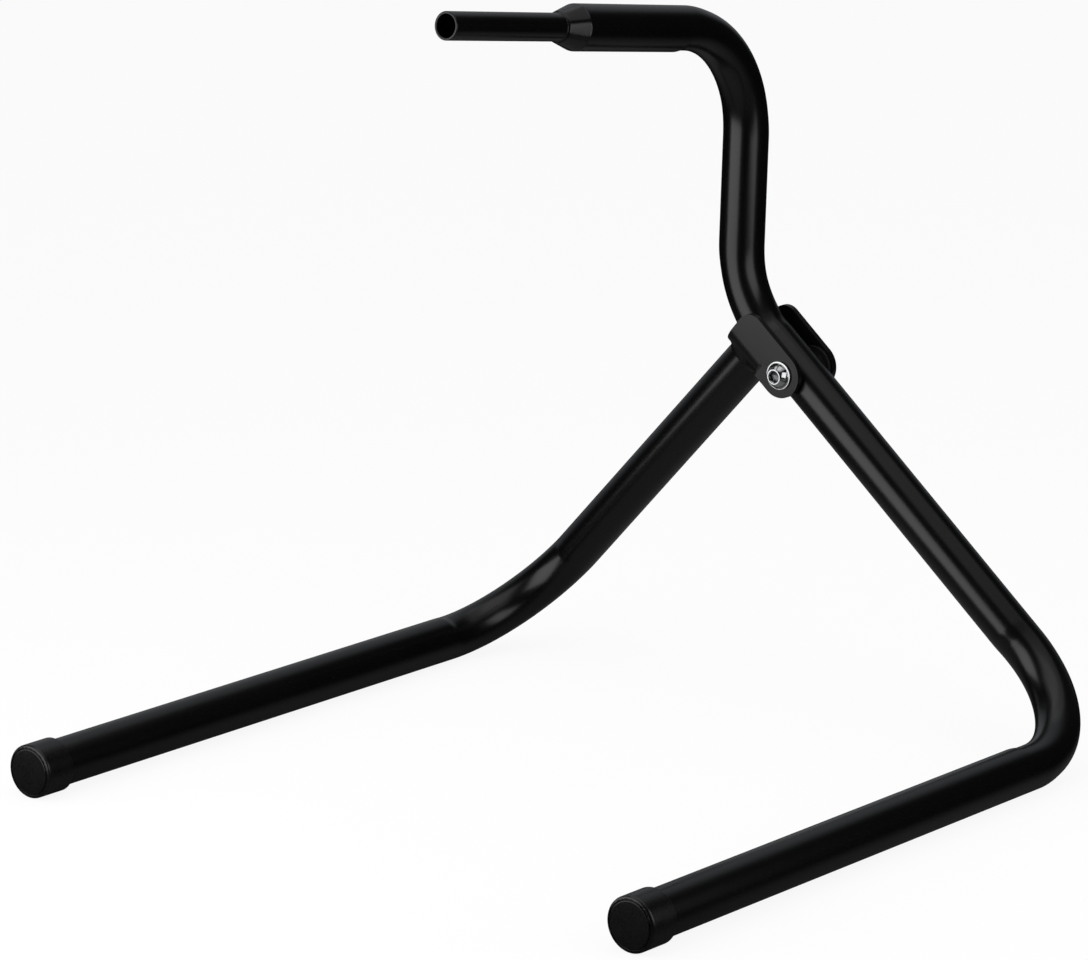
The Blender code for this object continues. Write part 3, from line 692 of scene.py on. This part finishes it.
def ear_outline(plan):
    """The ear's outline in the hinge's X and Z, from the web's lower edge round to its upper one."""
    relief = -plan.web_low + RELIEF
    corner = (EAR_CORNER - plan.web_high, plan.ear_half - EAR_CORNER)
    points = [(-plan.web_low, -plan.fold_centre), (relief, -plan.fold_centre), (relief, -plan.ear_half)]
    points += arc((0, 0), plan.ear_half, -pi / 2, pi / 2)
    points += arc(corner, EAR_CORNER, pi / 2, pi)
    points.append((-plan.web_high, -plan.fold_centre))
    return points


def build_bracket(plan, finishes):
    """Half of the sheet's inner face, an ear, a bend and half the web, is mirrored and thickened."""
    bm = bmesh.new()
    circle = arc((0, 0), BARREL_RADIUS + BARREL_CLEARANCE, 0, 2 * pi)[:-1]
    hole = [(x, -plan.ear_inside, z) for x, z in circle]
    edges = outline_edges(bm, [(x, -plan.ear_inside, z) for x, z in ear_outline(plan)], True)
    bend_edge = edges[-1]
    bmesh.ops.triangle_fill(bm, use_beauty=True, edges=edges + outline_edges(bm, hole, True))
    bend = bmesh.ops.spin(bm, geom=[bend_edge], cent=(0, -plan.fold_side, -plan.fold_centre), axis=(1, 0, 0),
                          angle=pi / 2, steps=round(pi / 2 / ARC_STEP))
    last = [item for item in bend["geom_last"] if isinstance(item, bmesh.types.BMEdge)]
    web = bmesh.ops.extrude_edge_only(bm, edges=last)
    bmesh.ops.translate(bm, verts=made_verts(web), vec=(0, plan.fold_side, 0))
    bmesh.ops.mirror(bm, geom=bm.verts[:] + bm.edges[:] + bm.faces[:], axis="Y",
                     merge_dist=MIRROR_MERGE)
    coat = powder_coat("bracket_coat", finishes, finishes.bracket_roughness)
    piece = add_piece("bracket_sheet", bm, plan.hinge, coat, "folding_leg", "hinge_bracket")
    sheet = piece.modifiers.new("sheet", "SOLIDIFY")
    sheet.thickness = plan.sizes.sheet
    sheet.offset = 1
    sheet.use_even_offset = True
    edge = piece.modifiers.new("edge", "BEVEL")
    edge.width = plan.sizes.edge_rounding
    edge.segments = EDGE_SEGMENTS
    edge.limit_method = "ANGLE"
    edge.angle_limit = SHARP_ANGLE
    edge.harden_normals = True


def build_leg_weld(plan, finishes):
    """A rippled bead round the leg's end, laid on the bracket's web and bends."""
    size = plan.sizes.weld_size
    face = fillet(plan.radius, size, size)
    root = plan.radius - WELD_ROOT
    bm = turned([(root, -WELD_ROOT), (plan.radius + size, -WELD_ROOT)] + face + [(root, size)], WELD_SIDES)
    leg = plan.hinge.inverted() @ plan.leg_frame @ frame_along(ORIGIN, plan.leg_up)
    centre = leg @ Vector((0, 0, plan.leg_diagonal - plan.web_outside))
    up_room = plan.web_high + WELD_OVERHANG + centre.x
    down_room = -plan.web_low - WELD_END - centre.x
    for vert in bm.verts:
        angle = atan2(vert.co.y, vert.co.x)
        outward = (leg.to_3x3() @ Vector((cos(angle), sin(angle), 0))).normalized()
        room = [plan.radius + size]
        if outward.x < -WELD_ASIDE:
            room.append(up_room / -outward.x)
        if outward.x > WELD_ASIDE:
            room.append(down_room / outward.x)
        ripple = WELD_RIPPLE * abs(sin(WELD_RIPPLES / 2 * angle))
        width = soft_least(room, size * WELD_BLEND) - plan.radius - ripple
        scale = max(width / size, WELD_LEAST)
        out = hypot(vert.co.x, vert.co.y) - root
        height = vert.co.z * (sqrt(scale) if vert.co.z > 0 else 1)
        spot = leg @ Vector(((root + out * scale) * cos(angle), (root + out * scale) * sin(angle), 0))
        along = (-plan.bracket_depth(spot.y) - height - spot.z) / leg.col[2].z
        vert.co = spot + along * leg.col[2].xyz
    coat = powder_coat("weld_coat", finishes, finishes.bracket_roughness, WELD_BUMP)
    add_piece("leg_weld_bead", bm, plan.hinge, coat, "folding_leg", "leg_weld")


def headed(plan, shank, top, height):
    """A shank's profile with a flanged, domed head and its hexagon socket. Heights run towards the head."""
    sizes = plan.sizes
    edge = sizes.head_diameter / 2
    rim = plan.ear_outside + GAP + HEAD_RIM
    foot = rim + HEAD_FILLET * (1 - sin(DOME_FOOT))
    size = (height - foot) / (sin(DOME_TOP) - sin(DOME_FOOT))
    dome = arc((top / 2 - size * cos(DOME_TOP), foot - size * sin(DOME_FOOT)), size, DOME_FOOT, DOME_TOP)
    hollow = arc((dome[0][0] + HEAD_FILLET * cos(DOME_FOOT), rim + HEAD_FILLET), HEAD_FILLET, 3 * pi / 2,
                 pi + DOME_FOOT)
    corner = sizes.socket_width / 2 / cos(pi / 6)
    mouth = corner + SOCKET_CHAMFER
    flange = rounded([(shank[-1][0], plan.ear_outside, 0), (edge, plan.ear_outside, HEAD_ROUNDING),
                      (edge, rim, HEAD_ROUNDING), (*hollow[0], 0)])[1:-1]
    bm = turned(shank + flange + hollow[:-1] + dome + [(mouth, height)], closed=False)
    ring = [item for item in bm.edges if item.is_boundary]
    made = bmesh.ops.extrude_edge_only(bm, edges=ring)
    for vert in made_verts(made):
        angle = atan2(vert.co.y, vert.co.x)
        off = (angle + pi / 6) % (pi / 3) - pi / 6
        radius = sizes.socket_width / 2 / cos(off)
        vert.co = (radius * cos(angle), radius * sin(angle), height - (mouth - radius))
    made = bmesh.ops.extrude_edge_only(bm, edges=made_edges(made))
    for vert in made_verts(made):
        vert.co.z = height - SOCKET_DEPTH
    made = bmesh.ops.extrude_edge_only(bm, edges=made_edges(made))
    for vert in made_verts(made):
        vert.co = (0, 0, height - SOCKET_DEPTH - SOCKET_CONE)
    bmesh.ops.remove_doubles(bm, verts=bm.verts, dist=MERGE)
    return bm


def build_pivot(plan, finishes):
    """Sleeve, washers, bolt and barrel nut."""
    front = plan.hinge @ FRONT_SIDE
    rear = plan.hinge @ REAR_SIDE
    clear = BARREL_RADIUS + BARREL_CLEARANCE
    sleeve = rounded([(clear, -plan.radius, 0), (SLEEVE_RADIUS, -plan.radius, WASHER_ROUNDING),
                      (SLEEVE_RADIUS, plan.radius, WASHER_ROUNDING), (clear, plan.radius, 0)])
    steel = turned_steel("sleeve_steel", finishes, front)
    add_piece("sleeve_turned", turned(sleeve), front, steel, "main_frame", "pivot_sleeve")
    edge = plan.sizes.washer_diameter / 2
    start, end = plan.radius + TOUCH, plan.ear_inside
    washer = rounded([(clear, start, 0), (edge, start, WASHER_ROUNDING), (edge, end, WASHER_ROUNDING),
                      (clear, end, 0)])
    for name, place in (("front", front), ("rear", rear)):
        add_piece(name + "_washer", turned(washer), place, nylon(name + "_nylon", finishes), "folding_leg",
                  name + "_friction_washer")
    tip = plan.ear_outside + GAP - BOLT_LENGTH
    shank = [(0, tip), (BOLT_RADIUS - BOLT_CHAMFER, tip), (BOLT_RADIUS, tip + BOLT_CHAMFER),
             (BOLT_RADIUS, plan.ear_outside)]
    height = plan.head_end + HEAD_CROWN
    plating = chrome("bolt_chrome", plan, finishes, front, height)
    add_piece("bolt_turned", headed(plan, shank, BOLT_TOP, height), front, plating, "folding_leg",
              "pivot_bolt")
    barrel_end = BARREL_SETBACK - plan.ear_outside
    bore = BOLT_RADIUS + GAP
    barrel = [(0, BARREL_FLOOR), (bore, BARREL_FLOOR), (bore, barrel_end), (BARREL_RADIUS, barrel_end),
              (BARREL_RADIUS, plan.ear_outside)]
    plating = chrome("nut_chrome", plan, finishes, rear, plan.head_end)
    add_piece("barrel_nut_turned", headed(plan, barrel, HEAD_TOP, plan.head_end), rear, plating,
              "folding_leg", "barrel_nut")


def build_caps(plan, finishes):
    """Push-on caps with a rounded shoulder and a raised disc. Heights run from the open rim."""
    sizes = plan.sizes
    bore = plan.radius + TOUCH
    floor = sizes.cap_length - CAP_END
    end = sizes.cap_length - CAP_GROOVE
    shoulder = plan.cap_radius - CAP_SHOULDER
    disc = shoulder - CAP_GROOVE
    groove = CAP_GROOVE / 3
    crown = [(disc * out, sizes.cap_length - CAP_CROWN * down, 0) for out, down in CAP_CROWN_RINGS]
    profile = rounded([
        (0, floor, 0), (bore, floor, 0), (bore, 0, 0), (plan.cap_radius, 0, CAP_RIM_ROUNDING),
        (plan.cap_radius, end, CAP_SHOULDER), (shoulder, end, 0), (shoulder, end - CAP_GROOVE, groove),
        (disc, end - CAP_GROOVE, groove), (disc, sizes.cap_length - CAP_CROWN, CAP_DISC_ROUNDING), *crown,
        (0, sizes.cap_length, 0)])
    for name, foot, body, node in (("main_cap", plan.main_frame, "main_frame", "main_foot_cap"),
                                   ("leg_cap", plan.leg_frame, "folding_leg", "leg_foot_cap")):
        place = foot @ frame_along(FOOT_HEADING * plan.rim_distance, FOOT_HEADING)
        add_piece(name, turned(profile, TUBE_SIDES, closed=False), place,
                  cap_plastic(name + "_plastic", finishes, place), body, node)


class Field:
    """A number that varies in a shader. Arithmetic on it adds Math nodes."""

    def __init__(self, graph, socket):
        self.graph = graph
        self.socket = socket

    def math(self, operation, *operands):
        node = self.graph.node("ShaderNodeMath", {"operation": operation}, dict(enumerate(operands)))
        return Field(self.graph, node.outputs[0])

    def __add__(self, other):
        return self.math("ADD", self, other)

    def __radd__(self, other):
        return self.math("ADD", other, self)

    def __sub__(self, other):
        return self.math("SUBTRACT", self, other)

    def __rsub__(self, other):
        return self.math("SUBTRACT", other, self)

    def __mul__(self, other):
        return self.math("MULTIPLY", self, other)

    def __rmul__(self, other):
        return self.math("MULTIPLY", other, self)

    def at_least(self, other):
        return self.math("MAXIMUM", self, other)

    def between(self, low, high):
        """0 below low, 1 above high, and smooth between them."""
        node = self.graph.node("ShaderNodeMapRange", {"interpolation_type": "SMOOTHSTEP"},
                               {"Value": self, "From Min": low, "From Max": high})
        return Field(self.graph, node.outputs[0])


class Graph:
    """A material's or the world's nodes."""

    def __init__(self, tree):
        self.tree = tree
        tree.nodes.clear()

    def node(self, kind, settings, inputs):
        """Adds a node, with its settings first, and then its sockets' values or links."""
        node = self.tree.nodes.new(kind)
        for name, value in settings.items():
            setattr(node, name, value)
        for name, value in inputs.items():
            if isinstance(value, Field):
                value = value.socket
            if isinstance(value, bpy.types.NodeSocket):
                self.tree.links.new(value, node.inputs[name])
            else:
                node.inputs[name].default_value = value
        return node

    def place(self, centred=UNMOVED):
        """Object coordinates, seen from a frame."""
        spot = self.node("ShaderNodeTexCoord", {}, {}).outputs["Object"]
        return self.node("ShaderNodeMapping", {"vector_type": "TEXTURE"}, {
            "Vector": spot, "Location": centred.translation, "Rotation": centred.to_euler()}).outputs[0]

    def noise(self, place, size, detail=2.0, roughness=0.5):
        """Noise whose lumps are about this size across."""
        return Field(self, self.node("ShaderNodeTexNoise", {}, {
            "Vector": place, "Scale": 1 / size, "Detail": detail, "Roughness": roughness}).outputs[0])

    def mix(self, factor, first, second):
        return self.node("ShaderNodeMix", {"data_type": "RGBA"}, {0: factor, 6: first, 7: second}).outputs[2]

    def shades(self, factor, tint, tones):
        """A tint that varies between its darkest and its lightest tone."""
        return self.mix(factor, *(opaque(tint, tone) for tone in tones))

    def bump(self, height, distance):
        """A normal from heights, of which 1 stands for this distance."""
        return self.node("ShaderNodeBump", {}, {
            "Height": height, "Strength": 1.0, "Distance": distance}).outputs[0]

    def surface(self, **inputs):
        """A Principled shader. The names' underscores stand for spaces."""
        inputs = {name.replace("_", " "): value for name, value in inputs.items()}
        shader = self.node("ShaderNodeBsdfPrincipled", {}, inputs)
        self.node("ShaderNodeOutputMaterial", {}, {"Surface": shader.outputs[0]})


def new_material(name):
    material = bpy.data.materials.new(name)
    material.use_nodes = True
    return material, Graph(material.node_tree)


def opaque(tint, scale=1.0):
    """A colour as a socket takes it, made darker or lighter by the scale."""
    return (*(channel * scale for channel in tint), 1.0)


def powder_coat(name, finishes, roughness, peel=1.0):
    """Gloss black powder coat: fine orange peel, slow changes of gloss, and a few dull specks."""
    material, graph = new_material(name)
    place = graph.place()
    lumps = graph.noise(place, COAT_PEEL, roughness=0.45)
    waves = graph.noise(place, COAT_WAVE)
    clouds = graph.noise(place, COAT_CLOUD, detail=3.0)
    specks = graph.noise(place, SPECK, detail=1.0).between(*SPECK_EDGE)
    tone = graph.shades(clouds, finishes.coat, COAT_TONES)
    graph.surface(
        Base_Color=graph.mix(specks * SPECK_COVER, tone, opaque(finishes.coat, SPECK_TONE)),
        Roughness=clouds * COAT_SPREAD + specks * SPECK_SPREAD + (roughness - COAT_SPREAD / 2),
        Normal=graph.bump(lumps + waves * COAT_SWELL, COAT_BUMP * peel),
    )
    return material


def cap_plastic(name, finishes, centred):
    """Satin moulded plastic, with a fine grain and faint clouds."""
    material, graph = new_material(name)
    place = graph.place(centred)
    grain = graph.noise(place, CAP_GRAIN, roughness=0.6)
    clouds = graph.noise(place, CAP_CLOUD, detail=3.0)
    tone = graph.shades(clouds, finishes.plastic, CAP_TONES)
    pale = grain.between(*CAP_GRAIN_EDGE) * CAP_GRAIN_COVER
    least = finishes.plastic_roughness - (CAP_SPREAD + CAP_GRAIN_SPREAD) / 2
    graph.surface(
        Base_Color=graph.mix(pale, tone, opaque(finishes.plastic, CAP_GRAIN_TONE)),
        Roughness=clouds * CAP_SPREAD + grain * CAP_GRAIN_SPREAD + least,
        Normal=graph.bump(grain + clouds * CAP_SWELL, CAP_BUMP),
    )
    return material


def nylon(name, finishes):
    """Matt nylon with the fine grain of its mould."""
    material, graph = new_material(name)
    grain = graph.noise(graph.place(), NYLON_GRAIN, detail=3.0, roughness=0.6)
    graph.surface(
        Base_Color=graph.shades(grain, finishes.nylon, NYLON_TONES),
        Roughness=grain * NYLON_SPREAD + (NYLON_ROUGHNESS - NYLON_SPREAD / 2),
        Normal=graph.bump(grain, NYLON_BUMP),
    )
    return material


def rings(graph, place, pitch):
    """Fine turned rings about the place's Z axis."""
    return Field(graph, graph.node("ShaderNodeTexWave", {
        "wave_type": "RINGS", "rings_direction": "Z", "wave_profile": "SIN"}, {
        "Vector": place, "Scale": 2 * pi / (WAVE_RATE * pitch), "Distortion": 0.6, "Detail": 1.0}).outputs[1])


def chrome(name, plan, finishes, centred, top):
    """Bright plating over faint turning marks, with a slight haze, and rougher down in the socket, where its
    colour is darkened as painted shade.
    """
    material, graph = new_material(name)
    place = graph.place(centred)
    marks = rings(graph, place, PLATING_PITCH)
    haze = graph.noise(place, PLATING_HAZE, detail=3.0)
    spot = graph.node("ShaderNodeSeparateXYZ", {}, {0: place}).outputs
    across, side, along = (Field(graph, socket) for socket in spot)
    # Painted shade: a mask, full near the axis and below a depth in the socket, darkens the colour there; it
    # also makes the plating rougher
    wide = plan.sizes.socket_width * SOCKET_SHADE_REACH
    inside = 1 - (across * across + side * side).between((wide * SOCKET_SHADE_SOFT) ** 2, wide ** 2)
    hollow = inside * (1 - along.between(top - SOCKET_SHADE_FULL, top - SOCKET_SHADE_START))
    bright = graph.shades(haze, finishes.chrome, PLATING_TONES)
    least = finishes.chrome_roughness - (PLATING_SPREAD + PLATING_RING_SPREAD) / 2
    graph.surface(
        Base_Color=graph.mix(hollow, bright, opaque(finishes.socket)),
        Metallic=1.0,
        Roughness=haze * PLATING_SPREAD + marks * PLATING_RING_SPREAD + hollow * SOCKET_SPREAD + least,
        Normal=graph.bump(marks + haze * PLATING_SWELL, PLATING_BUMP),
    )
    return material


def turned_steel(name, finishes, centred):
    """Bare steel as the lathe leaves it."""
    material, graph = new_material(name)
    place = graph.place(centred)
    marks = rings(graph, place, STEEL_PITCH)
    haze = graph.noise(place, STEEL_HAZE, detail=3.0)
    least = STEEL_ROUGHNESS - (STEEL_SPREAD + STEEL_RING_SPREAD) / 2
    graph.surface(
        Base_Color=graph.shades(haze, finishes.steel, STEEL_TONES),
        Metallic=1.0,
        Roughness=haze * STEEL_SPREAD + marks * STEEL_RING_SPREAD + least,
        Normal=graph.bump(marks, STEEL_BUMP),
    )
    return material


def ray_kinds(graph):
    """How a shader is seen: straight or through something, and in a glossy surface."""
    rays = graph.node("ShaderNodeLightPath", {}, {})
    camera, glossy, through = (Field(graph, rays.outputs[name])
                               for name in ("Is Camera Ray", "Is Glossy Ray", "Is Transmission Ray"))
    return camera.at_least(through), glossy


def build_floor(studio):
    """A wide pale floor. It is white to the eye, and keeps a part of its shadows."""
    material, graph = new_material("floor_pale")
    seen, glossy = ray_kinds(graph)
    grain = graph.noise(graph.place(), FLOOR_GRAIN, detail=4.0)
    pale = grain * FLOOR_MOTTLE + (studio.floor - FLOOR_MOTTLE / 2)
    spot = graph.node("ShaderNodeVectorMath", {"operation": "LENGTH"}, {0: graph.place(POOL_CENTRE)})
    slant = Field(graph, graph.node("ShaderNodeLayerWeight", {}, {"Blend": 0.5}).outputs["Facing"])
    near = 1 - Field(graph, spot.outputs[1]).between(*POOL_EDGE)
    pool = studio.pool * near * (1 - slant).between(*POOL_SLANT)
    tone = pale * (1 - glossy) + glossy * (pool + studio.surround)
    paint = graph.node("ShaderNodeBsdfDiffuse", {}, {"Color": tone})
    glow = graph.node("ShaderNodeEmission", {}, {"Color": WHITE, "Strength": 1.0})
    mixed = graph.node("ShaderNodeMixShader", {}, {
        0: seen * studio.glow, 1: paint.outputs[0], 2: glow.outputs[0]})
    graph.node("ShaderNodeOutputMaterial", {}, {"Surface": mixed.outputs[0]})
    bm = bmesh.new()
    bmesh.ops.create_grid(bm, x_segments=FLOOR_CELLS, y_segments=FLOOR_CELLS, size=FLOOR_REACH)
    add_object("floor", finished_mesh("floor", bm, material))


def build_world(studio):
    """White to the eye, level for soft light, and dim at the sides to glossy surfaces, as a studio is."""
    world = bpy.data.worlds.new("studio")
    world.use_nodes = True
    graph = Graph(world.node_tree)
    seen, glossy = ray_kinds(graph)
    way = graph.node("ShaderNodeTexCoord", {}, {}).outputs["Generated"]
    walls = [Field(graph, graph.node("ShaderNodeVectorMath", {"operation": "DOT_PRODUCT"}, {
        0: way, 1: middle}).outputs[1]).between(*edge) for middle, edge in WALLS]
    room = walls[0].at_least(walls[1]) * studio.wall + studio.surround
    strength = seen + (1 - seen) * (glossy * room + (1 - glossy) * studio.world)
    tint = graph.mix(glossy, WHITE, opaque(studio.tint))
    shader = graph.node("ShaderNodeBackground", {}, {"Color": tint, "Strength": strength})
    graph.node("ShaderNodeOutputWorld", {}, {"Surface": shader.outputs[0]})
    bpy.context.scene.world = world


def build_lamps(studio):
    for name, place, target, width, height, roll in LAMPS:
        lamp = bpy.data.lights.new(name + "_lamp", "AREA")
        lamp.shape = "RECTANGLE"
        lamp.size = width
        lamp.size_y = height
        lamp.energy = getattr(studio, name) * pi * width * height
        box = add_object(name + "_lamp", lamp)
        box.location = place
        facing = (Vector(place) - Vector(target)).to_track_quat("Z", "Y").to_matrix()
        box.rotation_euler = (facing @ Matrix.Rotation(roll, 3, "Z")).to_euler()
        box.visible_camera = False


def build_camera(plan):
    sensor = bpy.data.cameras.new("camera")
    sensor.sensor_width = SENSOR_WIDTH
    sensor.lens = CAMERA_LENS
    level_back = Vector((sin(CAMERA_AZIMUTH), -cos(CAMERA_AZIMUTH), 0))
    back = level_back * cos(CAMERA_ELEVATION) + Vector((0, 0, sin(CAMERA_ELEVATION)))
    right = Vector((cos(CAMERA_AZIMUTH), sin(CAMERA_AZIMUTH), 0))
    turn = Matrix((right, back.cross(right), back)).transposed().to_4x4()
    camera = add_object("camera", sensor)
    camera.matrix_world = plan.stance @ Matrix.Translation(CAMERA_PLACE) @ turn
    bpy.context.scene.camera = camera


def carry_out(context, *builders):
    """Makes pieces by the scene's settings."""
    for build in builders:
        build(Plan(context.scene.stand_sizes), context.scene.stand_finishes)
    return {"FINISHED"}


class BIKESTAND_OT_main_tube(bpy.types.Operator):
    """Build the bent main tube, with its crimped arm"""

    bl_idname = "bikestand.main_tube"
    bl_label = "Main Tube"
    bl_options = {"REGISTER", "UNDO"}

    def execute(self, context):
        return carry_out(context, build_main_tube)


class BIKESTAND_OT_spindle_pin(bpy.types.Operator):
    """Build the pin for the crank spindle, and its weld"""

    bl_idname = "bikestand.spindle_pin"
    bl_label = "Spindle Pin"
    bl_options = {"REGISTER", "UNDO"}

    def execute(self, context):
        return carry_out(context, build_pin)


class BIKESTAND_OT_leg_tube(bpy.types.Operator):
    """Build the folding leg's bent tube"""

    bl_idname = "bikestand.leg_tube"
    bl_label = "Leg Tube"
    bl_options = {"REGISTER", "UNDO"}

    def execute(self, context):
        return carry_out(context, build_leg_tube)


class BIKESTAND_OT_bracket(bpy.types.Operator):
    """Build the hinge's sheet steel bracket, and the weld that joins the leg to it"""

    bl_idname = "bikestand.bracket"
    bl_label = "Hinge Bracket"
    bl_options = {"REGISTER", "UNDO"}

    def execute(self, context):
        return carry_out(context, build_bracket, build_leg_weld)


class BIKESTAND_OT_pivot(bpy.types.Operator):
    """Build the hinge's sleeve, washers, bolt and barrel nut"""

    bl_idname = "bikestand.pivot"
    bl_label = "Pivot"
    bl_options = {"REGISTER", "UNDO"}

    def execute(self, context):
        return carry_out(context, build_pivot)


class BIKESTAND_OT_caps(bpy.types.Operator):
    """Build the two foot caps"""

    bl_idname = "bikestand.caps"
    bl_label = "Foot Caps"
    bl_options = {"REGISTER", "UNDO"}

    def execute(self, context):
        return carry_out(context, build_caps)


class BIKESTAND_OT_stage(bpy.types.Operator):
    """Build the floor, world, lamps and camera"""

    bl_idname = "bikestand.stage"
    bl_label = "Stage"
    bl_options = {"REGISTER", "UNDO"}

    def execute(self, context):
        scene = context.scene
        scene.view_settings.view_transform = "Standard"
        build_floor(scene.stand_studio)
        build_world(scene.stand_studio)
        build_lamps(scene.stand_studio)
        build_camera(Plan(scene.stand_sizes))
        return {"FINISHED"}


OPERATORS = (BIKESTAND_OT_main_tube, BIKESTAND_OT_spindle_pin, BIKESTAND_OT_leg_tube, BIKESTAND_OT_bracket,
             BIKESTAND_OT_pivot, BIKESTAND_OT_caps, BIKESTAND_OT_stage)


class BIKESTAND_PT_panel(bpy.types.Panel):
    """The stand's settings and operators"""

    bl_label = "Bike Stand"
    bl_space_type = "VIEW_3D"
    bl_region_type = "UI"
    bl_category = "Bike Stand"

    def draw(self, context):
        for settings in (context.scene.stand_sizes, context.scene.stand_finishes, context.scene.stand_studio):
            box = self.layout.box()
            for name in settings.bl_rna.properties.keys():
                if name not in ("rna_type", "name"):
                    box.prop(settings, name)
        for operator in OPERATORS:
            self.layout.operator(operator.bl_idname)


CLASSES = (StandSizes, StandFinishes, StudioSettings, *OPERATORS, BIKESTAND_PT_panel)


def register():
    for item in CLASSES:
        bpy.utils.register_class(item)
    bpy.types.Scene.stand_sizes = bpy.props.PointerProperty(type=StandSizes)
    bpy.types.Scene.stand_finishes = bpy.props.PointerProperty(type=StandFinishes)
    bpy.types.Scene.stand_studio = bpy.props.PointerProperty(type=StudioSettings)


def unregister():
    del bpy.types.Scene.stand_studio
    del bpy.types.Scene.stand_finishes
    del bpy.types.Scene.stand_sizes
    for item in reversed(CLASSES):
        bpy.utils.unregister_class(item)


def main():
    register()
    bpy.ops.bikestand.main_tube()
    bpy.ops.bikestand.spindle_pin()
    bpy.ops.bikestand.leg_tube()
    bpy.ops.bikestand.bracket()
    bpy.ops.bikestand.pivot()
    bpy.ops.bikestand.caps()
    bpy.ops.bikestand.stage()


if __name__ == "__main__":
    main()
